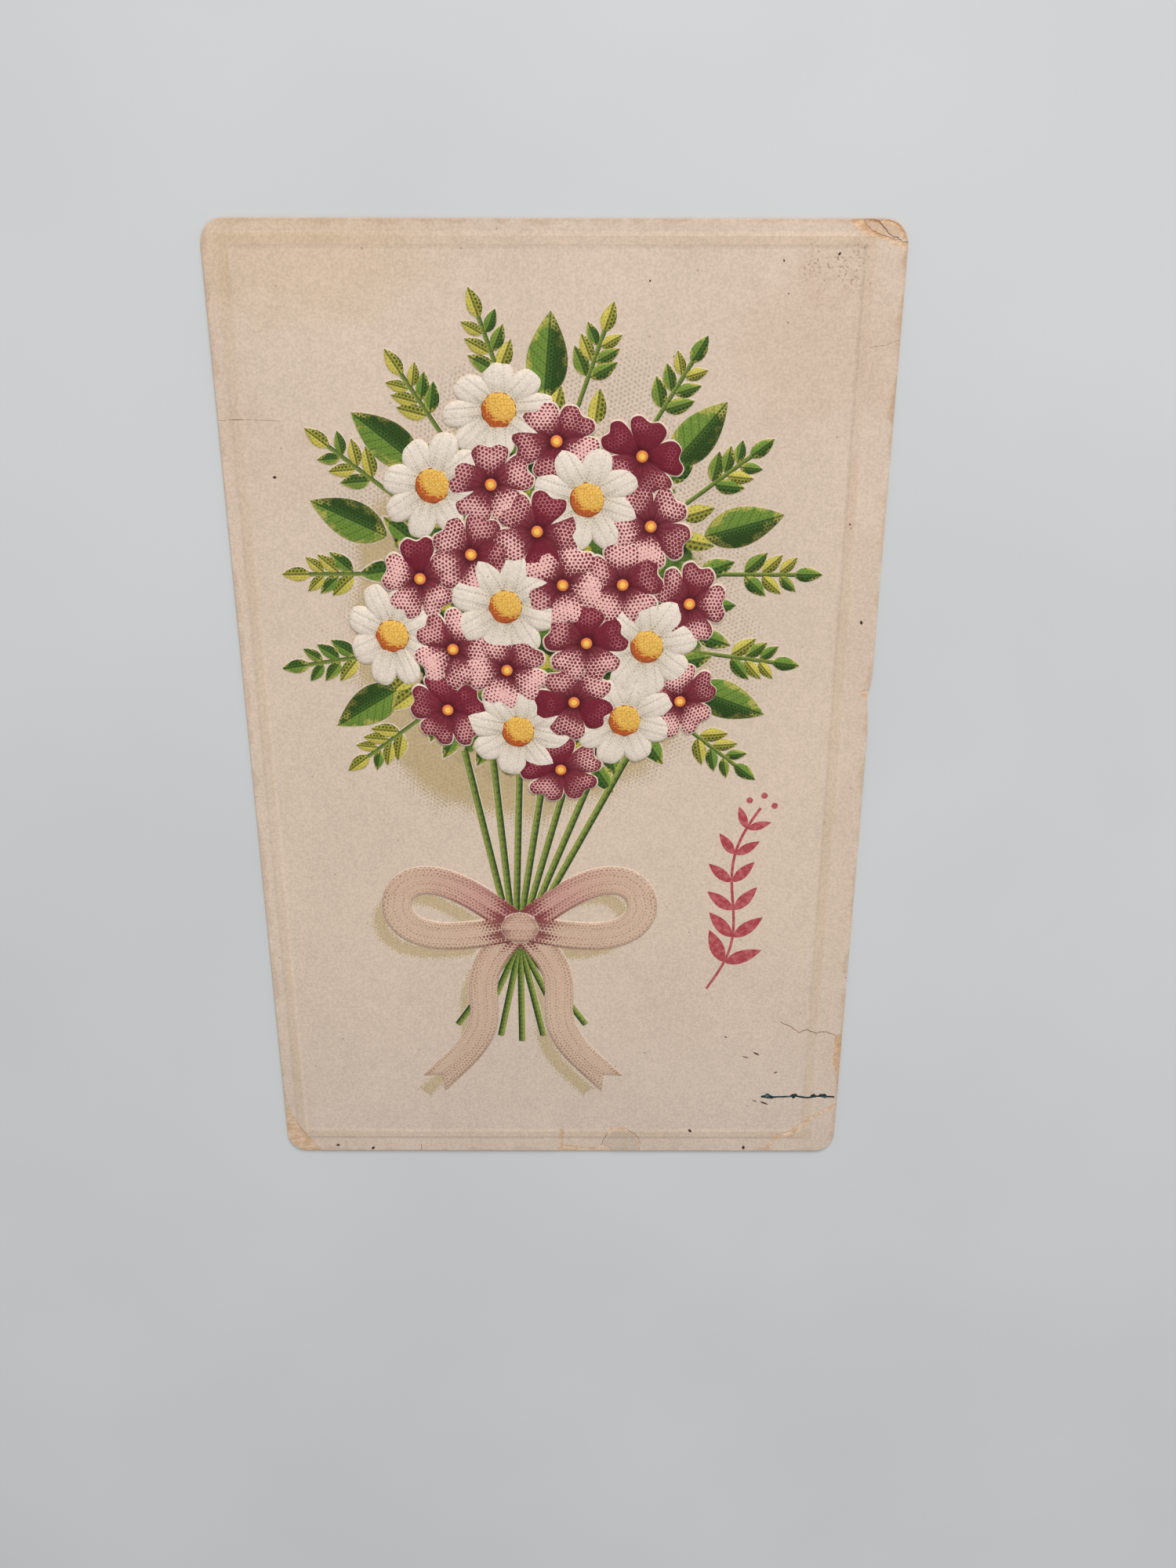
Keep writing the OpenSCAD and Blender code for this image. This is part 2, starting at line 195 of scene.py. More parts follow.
class Bench:
    """Operator shorthands for the mesh in hand, in millimetres."""

    LIFT = 10.0
    PARK = 5.0
    TOUCH = 1e-5
    NEAR = 1e-4
    ROW_NEAR = 1e-3
    NOTCH_RUN = 3.0
    NOTCH_SINK = 0.012

    @staticmethod
    def clear() -> None:
        """Leave edit mode and let go of everything."""
        if bpy.context.object is not None and bpy.context.object.mode != "OBJECT":
            bpy.ops.object.mode_set(mode="OBJECT")
        bpy.ops.object.select_all(action="DESELECT")

    @staticmethod
    def pick(test: Callable[[Vector], bool]) -> None:
        """Select the vertices whose place passes a test.

        Args:
            test: Says of a place whether it is wanted.
        """
        mesh = bmesh.from_edit_mesh(bpy.context.object.data)
        bpy.context.tool_settings.mesh_select_mode = (True, False, False)
        for vert in mesh.verts:
            vert.select_set(test(vert.co))
        mesh.select_flush(True)
        bmesh.update_edit_mesh(bpy.context.object.data)

    @staticmethod
    def scrap(*pieces: Piece) -> None:
        """Take dies off the bench."""
        for piece in pieces:
            bpy.data.objects.remove(piece)

    @staticmethod
    def shift(x: float, y: float, z: float) -> None:
        """Move what is selected."""
        bpy.ops.transform.translate(value=(x, y, z))

    @staticmethod
    def stretch(x: float, y: float, centre: Triple) -> None:
        """Scale what is selected across the sheet, about a centre."""
        bpy.ops.transform.resize(value=(x, y, 1.0), center_override=centre)

    @staticmethod
    def close(name: str) -> Piece:
        """End the work on a mesh.

        Args:
            name: The object's name.

        Returns:
            The object, with its normals pointing outwards.
        """
        bpy.ops.mesh.select_all(action="SELECT")
        bpy.ops.mesh.normals_make_consistent(inside=False)
        bpy.ops.object.mode_set(mode="OBJECT")
        piece = bpy.context.object
        piece.name = name
        piece.data.name = name
        return piece

    @staticmethod
    def disc(outline: Sequence[Point]) -> None:
        """Start a filled disc brought to an outline on the ground plane, all selected.

        Args:
            outline: The outline, anticlockwise.
        """
        Bench.clear()
        bpy.ops.mesh.primitive_circle_add(vertices=len(outline), radius=1.0, fill_type="NGON",
                                          calc_uvs=False, enter_editmode=True, location=(0, 0, 0))
        mesh = bmesh.from_edit_mesh(bpy.context.object.data)
        corners = [vert.co.copy() for vert in mesh.verts]
        corners.sort(key=lambda co: math.atan2(co.y, co.x) % math.tau)
        for corner, goal in zip(corners, outline):
            Bench.pick(lambda co, at=corner: (co - at).length < Bench.TOUCH)
            Bench.shift(goal[0] - corner.x, goal[1] - corner.y, Bench.LIFT)
        bpy.ops.mesh.select_all(action="SELECT")
        Bench.shift(0.0, 0.0, -Bench.LIFT)

    @staticmethod
    def lobe(name: str, outline: Sequence[Point], centre: Point, rings: Sequence[Ring]) -> Piece:
        """Model a domed lobe: a disc brought to an outline, then raised ring by ring.

        Args:
            name: The object's name.
            outline: The lobe's outline at ring scale 1.
            centre: The point that the rings close in on.
            rings: Scale and height of each ring, from the sole up.

        Returns:
            The closed lobe, with its print and rim maps.
        """
        Bench.disc(outline)
        scale, height = rings[0]
        Bench.shift(0.0, 0.0, height)
        Bench.stretch(scale, scale, (centre[0], centre[1], height))
        for next_scale, next_height in rings[1:]:
            way = (0, 0, next_height - height)
            bpy.ops.mesh.extrude_region_move(TRANSFORM_OT_translate={"value": way})
            grow = next_scale / scale
            Bench.stretch(grow, grow, (centre[0], centre[1], next_height))
            scale, height = next_scale, next_height
        piece = Bench.close(name)
        Bench.map_print(piece, lambda co: (co.x, co.y),
                        lambda co: min(rings, key=lambda ring: abs(ring[1] - co.z))[0])
        return piece

    @staticmethod
    def strip(name: str, path: Sequence[Point], profile: Sequence[Ring], rows: int, depth: float,
              half: float, notch: float = 0.0) -> Piece:
        """Model a strip: a grid given its cross profile, thickened, and laid along a path.

        Args:
            name: The object's name.
            path: The line that the strip follows.
            profile: Place across and height of each column.
            rows: Rows of faces along the strip.
            depth: How far the sole lies under the profile.
            half: Half the strip's width, where its rim is 1.
            notch: Depth of the notch cut in the far end.

        Returns:
            The closed strip, with its print and rim maps.
        """
        length = sum((Vector(b) - Vector(a)).length for a, b in zip(path, path[1:]))
        Bench.clear()
        columns = len(profile)
        bpy.ops.mesh.primitive_grid_add(x_subdivisions=rows, y_subdivisions=columns - 1, size=1.0,
                                        calc_uvs=False, enter_editmode=True, location=(0, 0, 0))
        bpy.ops.mesh.select_all(action="SELECT")
        Bench.stretch(length, 1.0, (0.0, 0.0, 0.0))
        Bench.shift(length / 2, 0.0, -Bench.PARK)
        for j, (across, height) in enumerate(profile):
            start = -0.5 + j / (columns - 1)
            Bench.pick(lambda co, at=start: co.z < -Bench.PARK / 2 and abs(co.y - at) < Bench.NEAR)
            Bench.shift(0.0, across - start, height + Bench.PARK)
        if notch:
            first = round(rows * (1.0 - Bench.NOTCH_RUN * notch / length))
            for row in range(rows, first, -1):
                drawn = notch * (row - first) / (rows - first)
                start = length * row / rows
                for across, height in profile:
                    Bench.pick(lambda co, at=(start, across): abs(co.x - at[0]) < Bench.ROW_NEAR
                               and abs(co.y - at[1]) < Bench.NEAR)
                    drop = -height - Bench.NOTCH_SINK if row == rows else 0.0
                    Bench.shift(-drawn * max(0.0, 1.0 - abs(across) / half), 0.0, drop)
        bpy.ops.mesh.select_all(action="SELECT")
        bpy.ops.mesh.extrude_region_move(TRANSFORM_OT_translate={"value": (0, 0, -depth)})
        piece = Bench.close(name)
        Bench.map_print(piece, lambda co: (co.x, co.y), lambda co: abs(co.y) / half)
        line = bpy.data.curves.new(name + "_path", "CURVE")
        line.dimensions = "2D"
        line.use_stretch = True
        line.use_deform_bounds = True
        spline = line.splines.new("POLY")
        spline.points.add(len(path) - 1)
        for point, place in zip(spline.points, path):
            point.co = (place[0], place[1], 0.0, 1.0)
        guide = bpy.data.objects.new(name + "_path", line)
        bpy.context.scene.collection.objects.link(guide)
        bend = piece.modifiers.new("bend", "CURVE")
        bend.object = guide
        bpy.context.view_layer.objects.active = piece
        bpy.ops.object.modifier_apply(modifier=bend.name)
        bpy.data.objects.remove(guide)
        bpy.data.curves.remove(line)
        return piece

    @staticmethod
    def map_print(piece: Piece, place: Callable[[Vector], Point],
                  rim: Callable[[Vector], float]) -> None:
        """Write the maps that the inks read.

        Args:
            piece: The die.
            place: Gives a vertex its place along and across the die, in millimetres.
            rim: Gives a vertex its closeness to the die's rim, which is 1.
        """
        mesh = piece.data
        printed = mesh.uv_layers.new(name=PRINT_MAP)
        rims = mesh.uv_layers.new(name=RIM_MAP)
        for loop in mesh.loops:
            co = mesh.vertices[loop.vertex_index].co
            printed.data[loop.index].uv = place(co)
            rims.data[loop.index].uv = (rim(co), 0.0)


class Tree:
    """A tree of shader nodes, wired by short calls."""

    def __init__(self, tree: bpy.types.NodeTree) -> None:
        """Take hold of a tree."""
        self.tree = tree

    def add(self, kind: str, **settings: Any) -> bpy.types.Node:
        """Add a node.

        Args:
            kind: The node's type.
            settings: Its properties.

        Returns:
            The node.
        """
        node = self.tree.nodes.new(kind)
        for key, value in settings.items():
            setattr(node, key, value)
        return node

    def put(self, socket: Socket, value: Any) -> None:
        """Link a socket to another one, or set its value.

        Args:
            socket: The socket.
            value: The other socket or the value.
        """
        if isinstance(value, Socket):
            self.tree.links.new(value, socket)
        else:
            socket.default_value = value

    def math(self, operation: str, a: Any, b: Any = 0.0) -> Socket:
        """Work out one sum.

        Args:
            operation: The Math node's operation.
            a: First value or socket.
            b: Second value or socket.

        Returns:
            The result's socket.
        """
        node = self.add("ShaderNodeMath", operation=operation)
        self.put(node.inputs[0], a)
        self.put(node.inputs[1], b)
        return node.outputs[0]

    def mix(self, share: Any, a: Any, b: Any, blend: str = "MIX") -> Socket:
        """Mix two colours.

        Args:
            share: How much of the second one.
            a: First colour or socket.
            b: Second colour or socket.
            blend: The way of mixing.

        Returns:
            The mixed colour's socket.
        """
        node = self.add("ShaderNodeMix", data_type="RGBA", blend_type=blend, clamp_factor=True)
        self.put(node.inputs[0], share)
        self.put(node.inputs[6], a)
        self.put(node.inputs[7], b)
        return node.outputs[2]

    def ease(self, value: Any, low: Any, high: Any, start: float = 0.0, end: float = 1.0) -> Socket:
        """Ease from one value to another.

        Args:
            value: What is measured.
            low: Where the change starts.
            high: Where it ends.
            start: The value before.
            end: The value after.

        Returns:
            The eased value's socket.
        """
        node = self.add("ShaderNodeMapRange", interpolation_type="SMOOTHSTEP")
        for socket, entry in zip(node.inputs, (value, low, high, start, end)):
            self.put(socket, entry)
        return node.outputs[0]

    def noise(self, vector: Any, scale: float, detail: float = 2.0) -> Socket:
        """Give soft noise about one half.

        Args:
            vector: Where.
            scale: Waves in each unit of it.
            detail: How many finer layers it has.

        Returns:
            The noise's socket.
        """
        node = self.add("ShaderNodeTexNoise")
        self.put(node.inputs["Vector"], vector)
        self.put(node.inputs["Scale"], scale)
        self.put(node.inputs["Detail"], detail)
        return node.outputs[0]

    def cells(self, vector: Any, scale: float, unrest: float) -> Socket:
        """Give the distance to the nearest dot of a screen laid in two directions.

        Args:
            vector: Where.
            scale: Dots in each unit of it.
            unrest: How far dots leave their rows.

        Returns:
            The distance's socket.
        """
        node = self.add("ShaderNodeTexVoronoi", voronoi_dimensions="2D", feature="F1")
        self.put(node.inputs["Vector"], vector)
        self.put(node.inputs["Scale"], scale)
        self.put(node.inputs["Randomness"], unrest)
        return node.outputs["Distance"]

    def covered(self, far: Any, size: Any, soft: float) -> Socket:
        """Turn the distance from a dot's middle into its cover, with a soft rim."""
        inner, outer = self.math("SUBTRACT", size, soft), self.math("ADD", size, soft)
        return self.ease(far, inner, outer, 1.0, 0.0)

    def dots(self, vector: Any, scale: float, size: Any, unrest: float = 0.35) -> Socket:
        """Print a screen of dots.

        Args:
            vector: Where.
            scale: Dots in each unit of it.
            size: A dot's radius as a share of the pitch.
            unrest: How far dots leave their rows.

        Returns:
            The cover, 1 inside a dot.
        """
        return self.covered(self.cells(vector, scale, unrest), size, 0.09)

    def moved(self, operation: str, vector: Any, by: Any) -> Socket:
        """Work out one sum with places.

        Args:
            operation: The Vector Math node's operation.
            vector: First place or socket.
            by: Second place or socket.

        Returns:
            The result's socket.
        """
        node = self.add("ShaderNodeVectorMath", operation=operation)
        self.put(node.inputs[0], vector)
        self.put(node.inputs[1], by)
        return node.outputs["Value" if operation == "LENGTH" else "Vector"]

    def screen(self, vector: Any, scale: float, size: Any, unrest: float = 0.2) -> Socket:
        """Print a screen of dots in staggered rows.

        Args:
            vector: Where.
            scale: Dots in each unit of it.
            size: A dot's radius as a share of the pitch.
            unrest: How far dots leave their rows, as a share of the pitch.

        Returns:
            The cover, 1 inside a dot.
        """
        stray = self.add("ShaderNodeTexNoise", noise_dimensions="2D")
        self.put(stray.inputs["Vector"], vector)
        self.put(stray.inputs["Scale"], scale * 0.5)
        self.put(stray.inputs["Detail"], 1.0)
        off = self.moved("SUBTRACT", stray.outputs["Color"], (0.5, 0.5, 0.5))
        off = self.moved("MULTIPLY", off, (3 * unrest, 3 * unrest, 0))
        place = self.moved("ADD", self.stretched(vector, scale, scale, 0.0), off)
        tall = math.sqrt(3.0)
        far = []
        for start in ((0.0, 0.0, 0.0), (0.5, tall / 2, 0.0)):
            cell = self.moved("MULTIPLY", self.moved("ADD", place, start), (1.0, 1 / tall, 0.0))
            cell = self.moved("FRACTION", cell, (0, 0, 0))
            cell = self.moved("SUBTRACT", cell, (0.5, 0.5, 0.0))
            cell = self.moved("MULTIPLY", cell, (1.0, tall, 0.0))
            far.append(self.moved("LENGTH", cell, (0, 0, 0)))
        return self.covered(self.math("MINIMUM", *far), size, 0.08)

    def stretched(self, vector: Any, x: float, y: float, z: float) -> Socket:
        """Scale a place by its directions."""
        return self.moved("MULTIPLY", vector, (x, y, z))

    def turned(self, vector: Any, degrees: float) -> Socket:
        """Turn a place about the sheet's upright.

        Args:
            vector: The place.
            degrees: How far.

        Returns:
            The turned place's socket.
        """
        node = self.add("ShaderNodeVectorRotate", rotation_type="Z_AXIS")
        self.put(node.inputs["Vector"], vector)
        node.inputs["Angle"].default_value = math.radians(degrees)
        return node.outputs[0]

    def axes(self, vector: Any) -> tuple[Socket, Socket]:
        """Split a place into its first two directions.

        Args:
            vector: The place.

        Returns:
            The sockets of the two.
        """
        node = self.add("ShaderNodeSeparateXYZ")
        self.put(node.inputs[0], vector)
        return node.outputs[0], node.outputs[1]

    def millimetres(self, place: Any) -> tuple[Socket, Socket]:
        """Give a place on the sheet to the right and upwards, in millimetres."""
        return self.axes(self.stretched(place, 1 / MM, 1 / MM, 1 / MM))

    def far(self, x: Any, y: Any, middle: Point, reach: Point) -> Socket:
        """Measure from the middle of an ellipse, whose rim is 1.

        Args:
            x: Place to the right, in millimetres.
            y: Place upwards, in millimetres.
            middle: The ellipse's middle.
            reach: Its two half widths.

        Returns:
            The distance's socket.
        """
        u = self.math("DIVIDE", self.math("SUBTRACT", x, middle[0]), reach[0])
        v = self.math("DIVIDE", self.math("SUBTRACT", y, middle[1]), reach[1])
        squares = self.math("ADD", self.math("MULTIPLY", u, u), self.math("MULTIPLY", v, v))
        return self.math("SQRT", squares)


@dataclass(frozen=True)
class HeadOval:
    """Oval that the head of flowers fills, in millimetres."""

    centre: Point = (-1.5, 21.0)
    half_w: float = 23.0
    half_h: float = 27.0

    def spot(self, way: float, share: float = 1.0, outset: float = 0.0) -> Point:
        """Give a place in the oval or round it.

        Args:
            way: Direction from its middle, in degrees.
            share: Share of the way to its rim.
            outset: How far the rim is moved out.

        Returns:
            The place.
        """
        a = math.radians(way)
        return (self.centre[0] + (self.half_w + outset) * share * math.cos(a),
                self.centre[1] + (self.half_h + outset) * share * math.sin(a))


@dataclass(frozen=True)
class Stain:
    """Soft oval of another tone on the stock, in millimetres."""

    middle: Point
    reach: Point
    tint: Colour
    cover: float
    inner: float
    outer: float
    unrest: float

    def lay(self, t: Tree, age: Any, x: Any, y: Any, wave: Any) -> Socket:
        """Multiply the stain into the stock's tone.

        Args:
            t: The node tree.
            age: The tone so far.
            x: Place to the right, in millimetres.
            y: Place upwards, in millimetres.
            wave: Noise that makes the rim uneven.

        Returns:
            The tone with the stain.
        """
        uneven = t.ease(wave, 0.2, 0.8, -self.unrest, self.unrest)
        away = t.math("ADD", t.far(x, y, self.middle, self.reach), uneven)
        share = t.ease(away, self.inner, self.outer, self.cover, 0.0)
        return t.mix(share, age, self.tint, "MULTIPLY")


@dataclass(frozen=True)
class Ageing:
    """Shared ageing and tints of the stock: mottling, toned edges, stains, grain, painted shade on
    a lifted flap, a tint yellower at the upper left and one darker and bluer at the bottom.
    """

    toned: Colour = colour(222, 196, 166)
    brown: Colour = colour(205, 168, 124)
    foot: Colour = colour(245, 247, 251)
    handled: Colour = colour(244, 236, 225)
    fleck: Colour = colour(146, 122, 100)
    foxing: Colour = colour(150, 120, 96)
    fleck_middle: Point = (36.4, 64.4)
    fleck_reach: Point = (7.2, 5.4)
    stains: tuple[Stain, ...] = (
        # Tint yellower towards the upper left.
        Stain((-32.0, 67.0), (22.0, 13.0), colour(252, 248, 239), 0.9, 0.35, 1.1, 0.15),
        Stain((33.0, 54.0), (14.0, 13.0), colour(250, 246, 243), 0.9, 0.35, 1.1, 0.15),
        Stain((42.3, 69.6), (5.4, 2.6), colour(242, 218, 190), 0.5, 0.55, 1.05, 0.2),
        Stain((-41.0, 40.0), (11.0, 7.5), colour(222, 196, 166), 0.06, 0.8, 1.05, 0.2),
        # Grey patch of painted shade where a flap of the surface is lifted; the sheet itself stays
        # flat here.
        Stain((10.0, -68.9), (3.1, 3.6), colour(230, 229, 224), 0.42, 0.8, 1.02, 0.1),
        Stain((39.7, 35.0), (0.9, 9.0), colour(246, 222, 216), 0.3, 0.4, 1.0, 0.0),
    )

    def build(self) -> bpy.types.NodeTree:
        """Build the node group that every finish reads.

        Returns:
            The group, with outputs Age, Height and Rough.
        """
        group = bpy.data.node_groups.new("stock_ageing", "ShaderNodeTree")
        for name, kind in (("Age", "Color"), ("Height", "Float"), ("Rough", "Float")):
            group.interface.new_socket(name=name, in_out="OUTPUT", socket_type="NodeSocket" + kind)
        t = Tree(group)
        place = t.add("ShaderNodeTexCoord").outputs["Object"]
        x, y = t.millimetres(place)
        broad = t.noise(place, 45.0, 4.0)
        middle = t.noise(place, 260.0, 3.0)
        fibre = t.noise(t.stretched(place, 2600.0, 420.0, 2600.0), 1.0, 2.0)
        grain = t.noise(place, 3000.0, 2.0)
        level = t.math("ADD", t.ease(broad, 0.3, 0.7, 0.965, 1.015),
                       t.ease(middle, 0.3, 0.7, -0.014, 0.014))
        level = t.math("ADD", level, t.ease(fibre, 0.3, 0.7, -0.012, 0.012))
        level = t.math("ADD", level, t.ease(grain, 0.28, 0.7, -0.095, 0.07))
        # Tint darker and bluer towards the bottom of the card.
        age = t.mix(t.ease(y, -70.0, -24.0, 0.9, 0.0), self.grey(t, level), self.foot, "MULTIPLY")
        age = self.edges(t, age, (x, y), (broad, middle))
        age = self.flecks(t, age, (x, y), (place, middle))
        for stain in self.stains:
            age = stain.lay(t, age, x, y, middle)
        spots = t.ease(t.cells(place, 75.0, 1.0), 0.006, 0.014, 0.45, 0.0)
        out = t.add("NodeGroupOutput")
        t.put(out.inputs["Age"], t.mix(spots, age, self.foxing, "MULTIPLY"))
        t.put(out.inputs["Height"], t.math("ADD", t.math("MULTIPLY", grain, 0.6),
                                           t.math("MULTIPLY", fibre, 0.4)))
        t.put(out.inputs["Rough"], t.ease(middle, 0.25, 0.75, 0.5, 0.66))
        return group

    def edges(self, t: Tree, age: Any, spot: tuple[Any, Any], noises: tuple[Any, Any]) -> Socket:
        """Tone the edges, which are least worn in the middle of the left side.

        Args:
            t: The node tree.
            age: The tone so far.
            spot: Place to the right and upwards, in millimetres.
            noises: Broad and middle noise.

        Returns:
            The tone with its edges.
        """
        x, y = spot
        broad, middle = noises
        sizes = Sheet()
        edge_x = t.math("SUBTRACT", sizes.width / 2, t.math("ABSOLUTE", x))
        edge_y = t.math("SUBTRACT", sizes.height / 2, t.math("ABSOLUTE", y))
        nearest = t.math("MINIMUM", edge_x, edge_y)
        edge = t.math("ADD", nearest, t.ease(broad, 0.3, 0.7, -2.0, 2.0))
        height = t.math("ABSOLUTE", t.math("ADD", y, 15.0))
        fresh = t.math("MULTIPLY", t.ease(x, -40.0, -30.0, 1.0, 0.0),
                       t.ease(height, 32.0, 44.0, 1.0, 0.0))
        toning = t.math("MULTIPLY", t.ease(edge, 0.0, 6.0, 0.07, 0.0),
                        t.math("SUBTRACT", 1.0, fresh))
        age = t.mix(toning, age, self.toned, "MULTIPLY")
        worn = t.math("ADD", nearest, t.ease(middle, 0.3, 0.7, -0.5, 0.5))
        age = t.mix(t.ease(worn, 0.05, 0.6, 0.2, 0.0), age, self.brown, "MULTIPLY")
        right = t.math("ADD", t.math("SUBTRACT", sizes.width / 2, x),
                       t.ease(middle, 0.3, 0.7, -0.25, 0.25))
        share = t.math("MULTIPLY", t.ease(right, 0.1, 0.8, 0.9, 0.0), t.ease(y, 40.0, 48.0))
        return t.mix(share, age, self.handled, "MULTIPLY")

    def flecks(self, t: Tree, age: Any, spot: tuple[Any, Any], noises: tuple[Any, Any]) -> Socket:
        """Fleck and tone the upper right corner.

        Args:
            t: The node tree.
            age: The tone so far.
            spot: Place to the right and upwards, in millimetres.
            noises: Place that the flecks are read at, and middle noise.

        Returns:
            The tone with the flecks.
        """
        place, middle = noises
        away = t.math("ADD", t.far(*spot, self.fleck_middle, self.fleck_reach),
                      t.ease(middle, 0.2, 0.8, -0.35, 0.35))
        patch = t.ease(away, 0.2, 1.1, 1.0, 0.0)
        dense = t.math("ADD", t.noise(place, 2700.0, 2.0), t.math("MULTIPLY", patch, 0.1))
        share = t.math("MULTIPLY", t.ease(dense, 0.64, 0.78, 0.0, 0.5), patch)
        age = t.mix(share, age, self.fleck, "MULTIPLY")
        return t.mix(t.math("MULTIPLY", patch, 0.1), age, self.toned, "MULTIPLY")

    @staticmethod
    def grey(t: Tree, level: Any) -> Socket:
        """Turn a level into a grey of that level.

        Args:
            t: The node tree.
            level: The level.

        Returns:
            The grey's socket.
        """
        node = t.add("ShaderNodeCombineColor")
        for socket in node.inputs:
            t.put(socket, level)
        return node.outputs[0]


class Finish:
    """One finish: its colours over the aged stock, and its relief."""

    bump: float = 0.16
    reach: float = 0.00006
    gloss: float = 0.14

    def __init__(self, ink: Ink, ageing: bpy.types.NodeTree) -> None:
        """Build the material.

        Args:
            ink: Which finish it is.
            ageing: The node group of the stock's ageing.
        """
        self.material = bpy.data.materials.new(ink.value)
        self.material.use_nodes = True
        tree = self.material.node_tree
        t = Tree(tree)
        shader = tree.nodes["Principled BSDF"]
        group = t.add("ShaderNodeGroup", node_tree=ageing)
        self.place = t.add("ShaderNodeTexCoord").outputs["Object"]
        self.printed = t.add("ShaderNodeUVMap", uv_map=PRINT_MAP).outputs[0]
        self.along, self.across = t.axes(self.printed)
        self.rim, self.tone = t.axes(t.add("ShaderNodeUVMap", uv_map=RIM_MAP).outputs[0])
        paint, relief = self.colours(t)
        aged = t.mix(1.0, paint, group.outputs["Age"], "MULTIPLY")
        t.put(shader.inputs["Base Color"], aged)
        t.put(shader.inputs["Roughness"], group.outputs["Rough"])
        shader.inputs["Specular IOR Level"].default_value = self.gloss
        bump = t.add("ShaderNodeBump")
        bump.inputs["Strength"].default_value = self.bump
        bump.inputs["Distance"].default_value = self.reach
        t.put(bump.inputs["Height"], t.math("ADD", group.outputs["Height"], relief))
        t.put(shader.inputs["Normal"], bump.outputs[0])

    def colours(self, t: Tree) -> tuple[Any, Any]:
        """Give the finish's colour and its own relief."""
        raise NotImplementedError

    def rimmed(self, t: Tree, paint: Any) -> Socket:
        """Leave the skirt round a die unprinted, as a pale soft rim."""
        return t.mix(t.ease(self.rim, 0.985, 1.035), paint, PaperFace.STOCK)


class PaperFace(Finish):
    """Printed side of the stock with the stippled tints round the posy."""

    STOCK = colour(209, 189, 170)
    DOT = colour(136, 122, 98)
    KHAKI = colour(178, 156, 108)
    SOIL = colour(250, 247, 241)
    HEAD = HeadOval()
    HALO_HALF: Point = (31.0, 35.0)
    SHADE_HALF: Point = (24.5, 28.5)
    SHADE_WAY: Point = (-2.6, -3.6)
    SCREEN_TURN = 38.0
    HALO_SCREEN = 1600.0
    KHAKI_SCREEN = 1900.0

    def colours(self, t: Tree) -> tuple[Any, Any]:
        """Give the stock its halo of fine dots and the khaki shade under the posy.

        Args:
            t: The finish's node tree.

        Returns:
            The colour and the relief.
        """
        x, y = t.millimetres(self.place)
        wave = t.ease(t.noise(self.place, 70.0, 2.0), 0.3, 0.7, -0.1, 0.1)
        head = self.HEAD.centre
        far = t.math("ADD", t.far(x, y, head, self.HALO_HALF), wave)
        halo = t.ease(far, 0.82, 1.16, 0.27, -0.1)
        dots = t.screen(t.turned(self.place, self.SCREEN_TURN), self.HALO_SCREEN, halo)
        paint = t.mix(t.math("MULTIPLY", dots, 0.42), self.STOCK, self.DOT)
        low = (head[0] + self.SHADE_WAY[0], head[1] + self.SHADE_WAY[1])
        under = t.math("ADD", t.far(x, y, low, self.SHADE_HALF), t.math("MULTIPLY", wave, 0.5))
        paint = self.shaded(t, paint, t.ease(under, 0.92, 1.12, 0.6, -0.12))
        return self.soiled(t, paint, x, y), 0.0

    def shaded(self, t: Tree, paint: Any, size: Any) -> Socket:
        """Lay the khaki dots of a shade, of a given size, over a colour."""
        dots = t.screen(t.turned(self.place, self.SCREEN_TURN), self.KHAKI_SCREEN, size, 0.4)
        return t.mix(t.math("MULTIPLY", dots, 0.75), paint, self.KHAKI)

    def soiled(self, t: Tree, paint: Any, x: Any, y: Any) -> Socket:
        """Soil the crest of the border band.

        Args:
            t: The finish's node tree.
            paint: The colour so far.
            x: Place to the right, in millimetres.
            y: Place upwards, in millimetres.

        Returns:
            The soiled colour's socket.
        """
        x0, x1, y0, y1 = BorderBand().lines(Sheet())
        off = []
        for value, low, high in ((x, x0, x1), (y, y0, y1)):
            away = t.math("ABSOLUTE", t.math("SUBTRACT", value, (low + high) / 2))
            off.append(t.math("SUBTRACT", away, (high - low) / 2))
        crest = t.ease(t.math("ABSOLUTE", t.math("MAXIMUM", *off)), 0.5, 1.0, 1.0, 0.0)
        patchy = t.ease(t.noise(self.place, 32.0, 2.0), 0.35, 0.6, 0.35, 1.0)
        return t.mix(t.math("MULTIPLY", crest, patchy), paint, self.SOIL, "MULTIPLY")


class PaperBack(Finish):
    """Plain unprinted back."""

    PALE = colour(204, 182, 156)
    DULL = colour(194, 171, 143)

    def colours(self, t: Tree) -> tuple[Any, Any]:
        """Give the back its duller, rougher stock."""
        cloud = t.noise(self.place, 120.0, 4.0)
        return t.mix(t.ease(cloud, 0.3, 0.7), self.PALE, self.DULL), 0.0


class CutEdge(Finish):
    """Trimmed edge with its layers of fibre."""

    PALE = colour(208, 180, 150)
    HANDLED = colour(178, 148, 118)

    def colours(self, t: Tree) -> tuple[Any, Any]:
        """Give the edge thin layers, darker where it is handled."""
        layers = t.noise(t.stretched(self.place, 300.0, 300.0, 9000.0), 1.0, 3.0)
        return t.mix(t.ease(layers, 0.35, 0.65), self.PALE, self.HANDLED), layers


class BaredCore(Finish):
    """Tan core of the stock where the surface has flaked off."""

    LIGHT = (colour(233, 208, 183), colour(211, 179, 146))
    DEEP = (colour(210, 176, 144), colour(197, 161, 127))
    bump = 0.5

    def colours(self, t: Tree) -> tuple[Any, Any]:
        """Give the core its torn fibres.

        Args:
            t: The finish's node tree.

        Returns:
            The colour and the relief.
        """
        fibre = t.noise(t.stretched(self.place, 900.0, 2200.0, 900.0), 1.0, 4.0)
        light = t.mix(t.ease(fibre, 0.36, 0.62), *self.LIGHT)
        deep = t.mix(t.ease(fibre, 0.35, 0.65), *self.DEEP)
        return t.mix(self.tone, light, deep), fibre


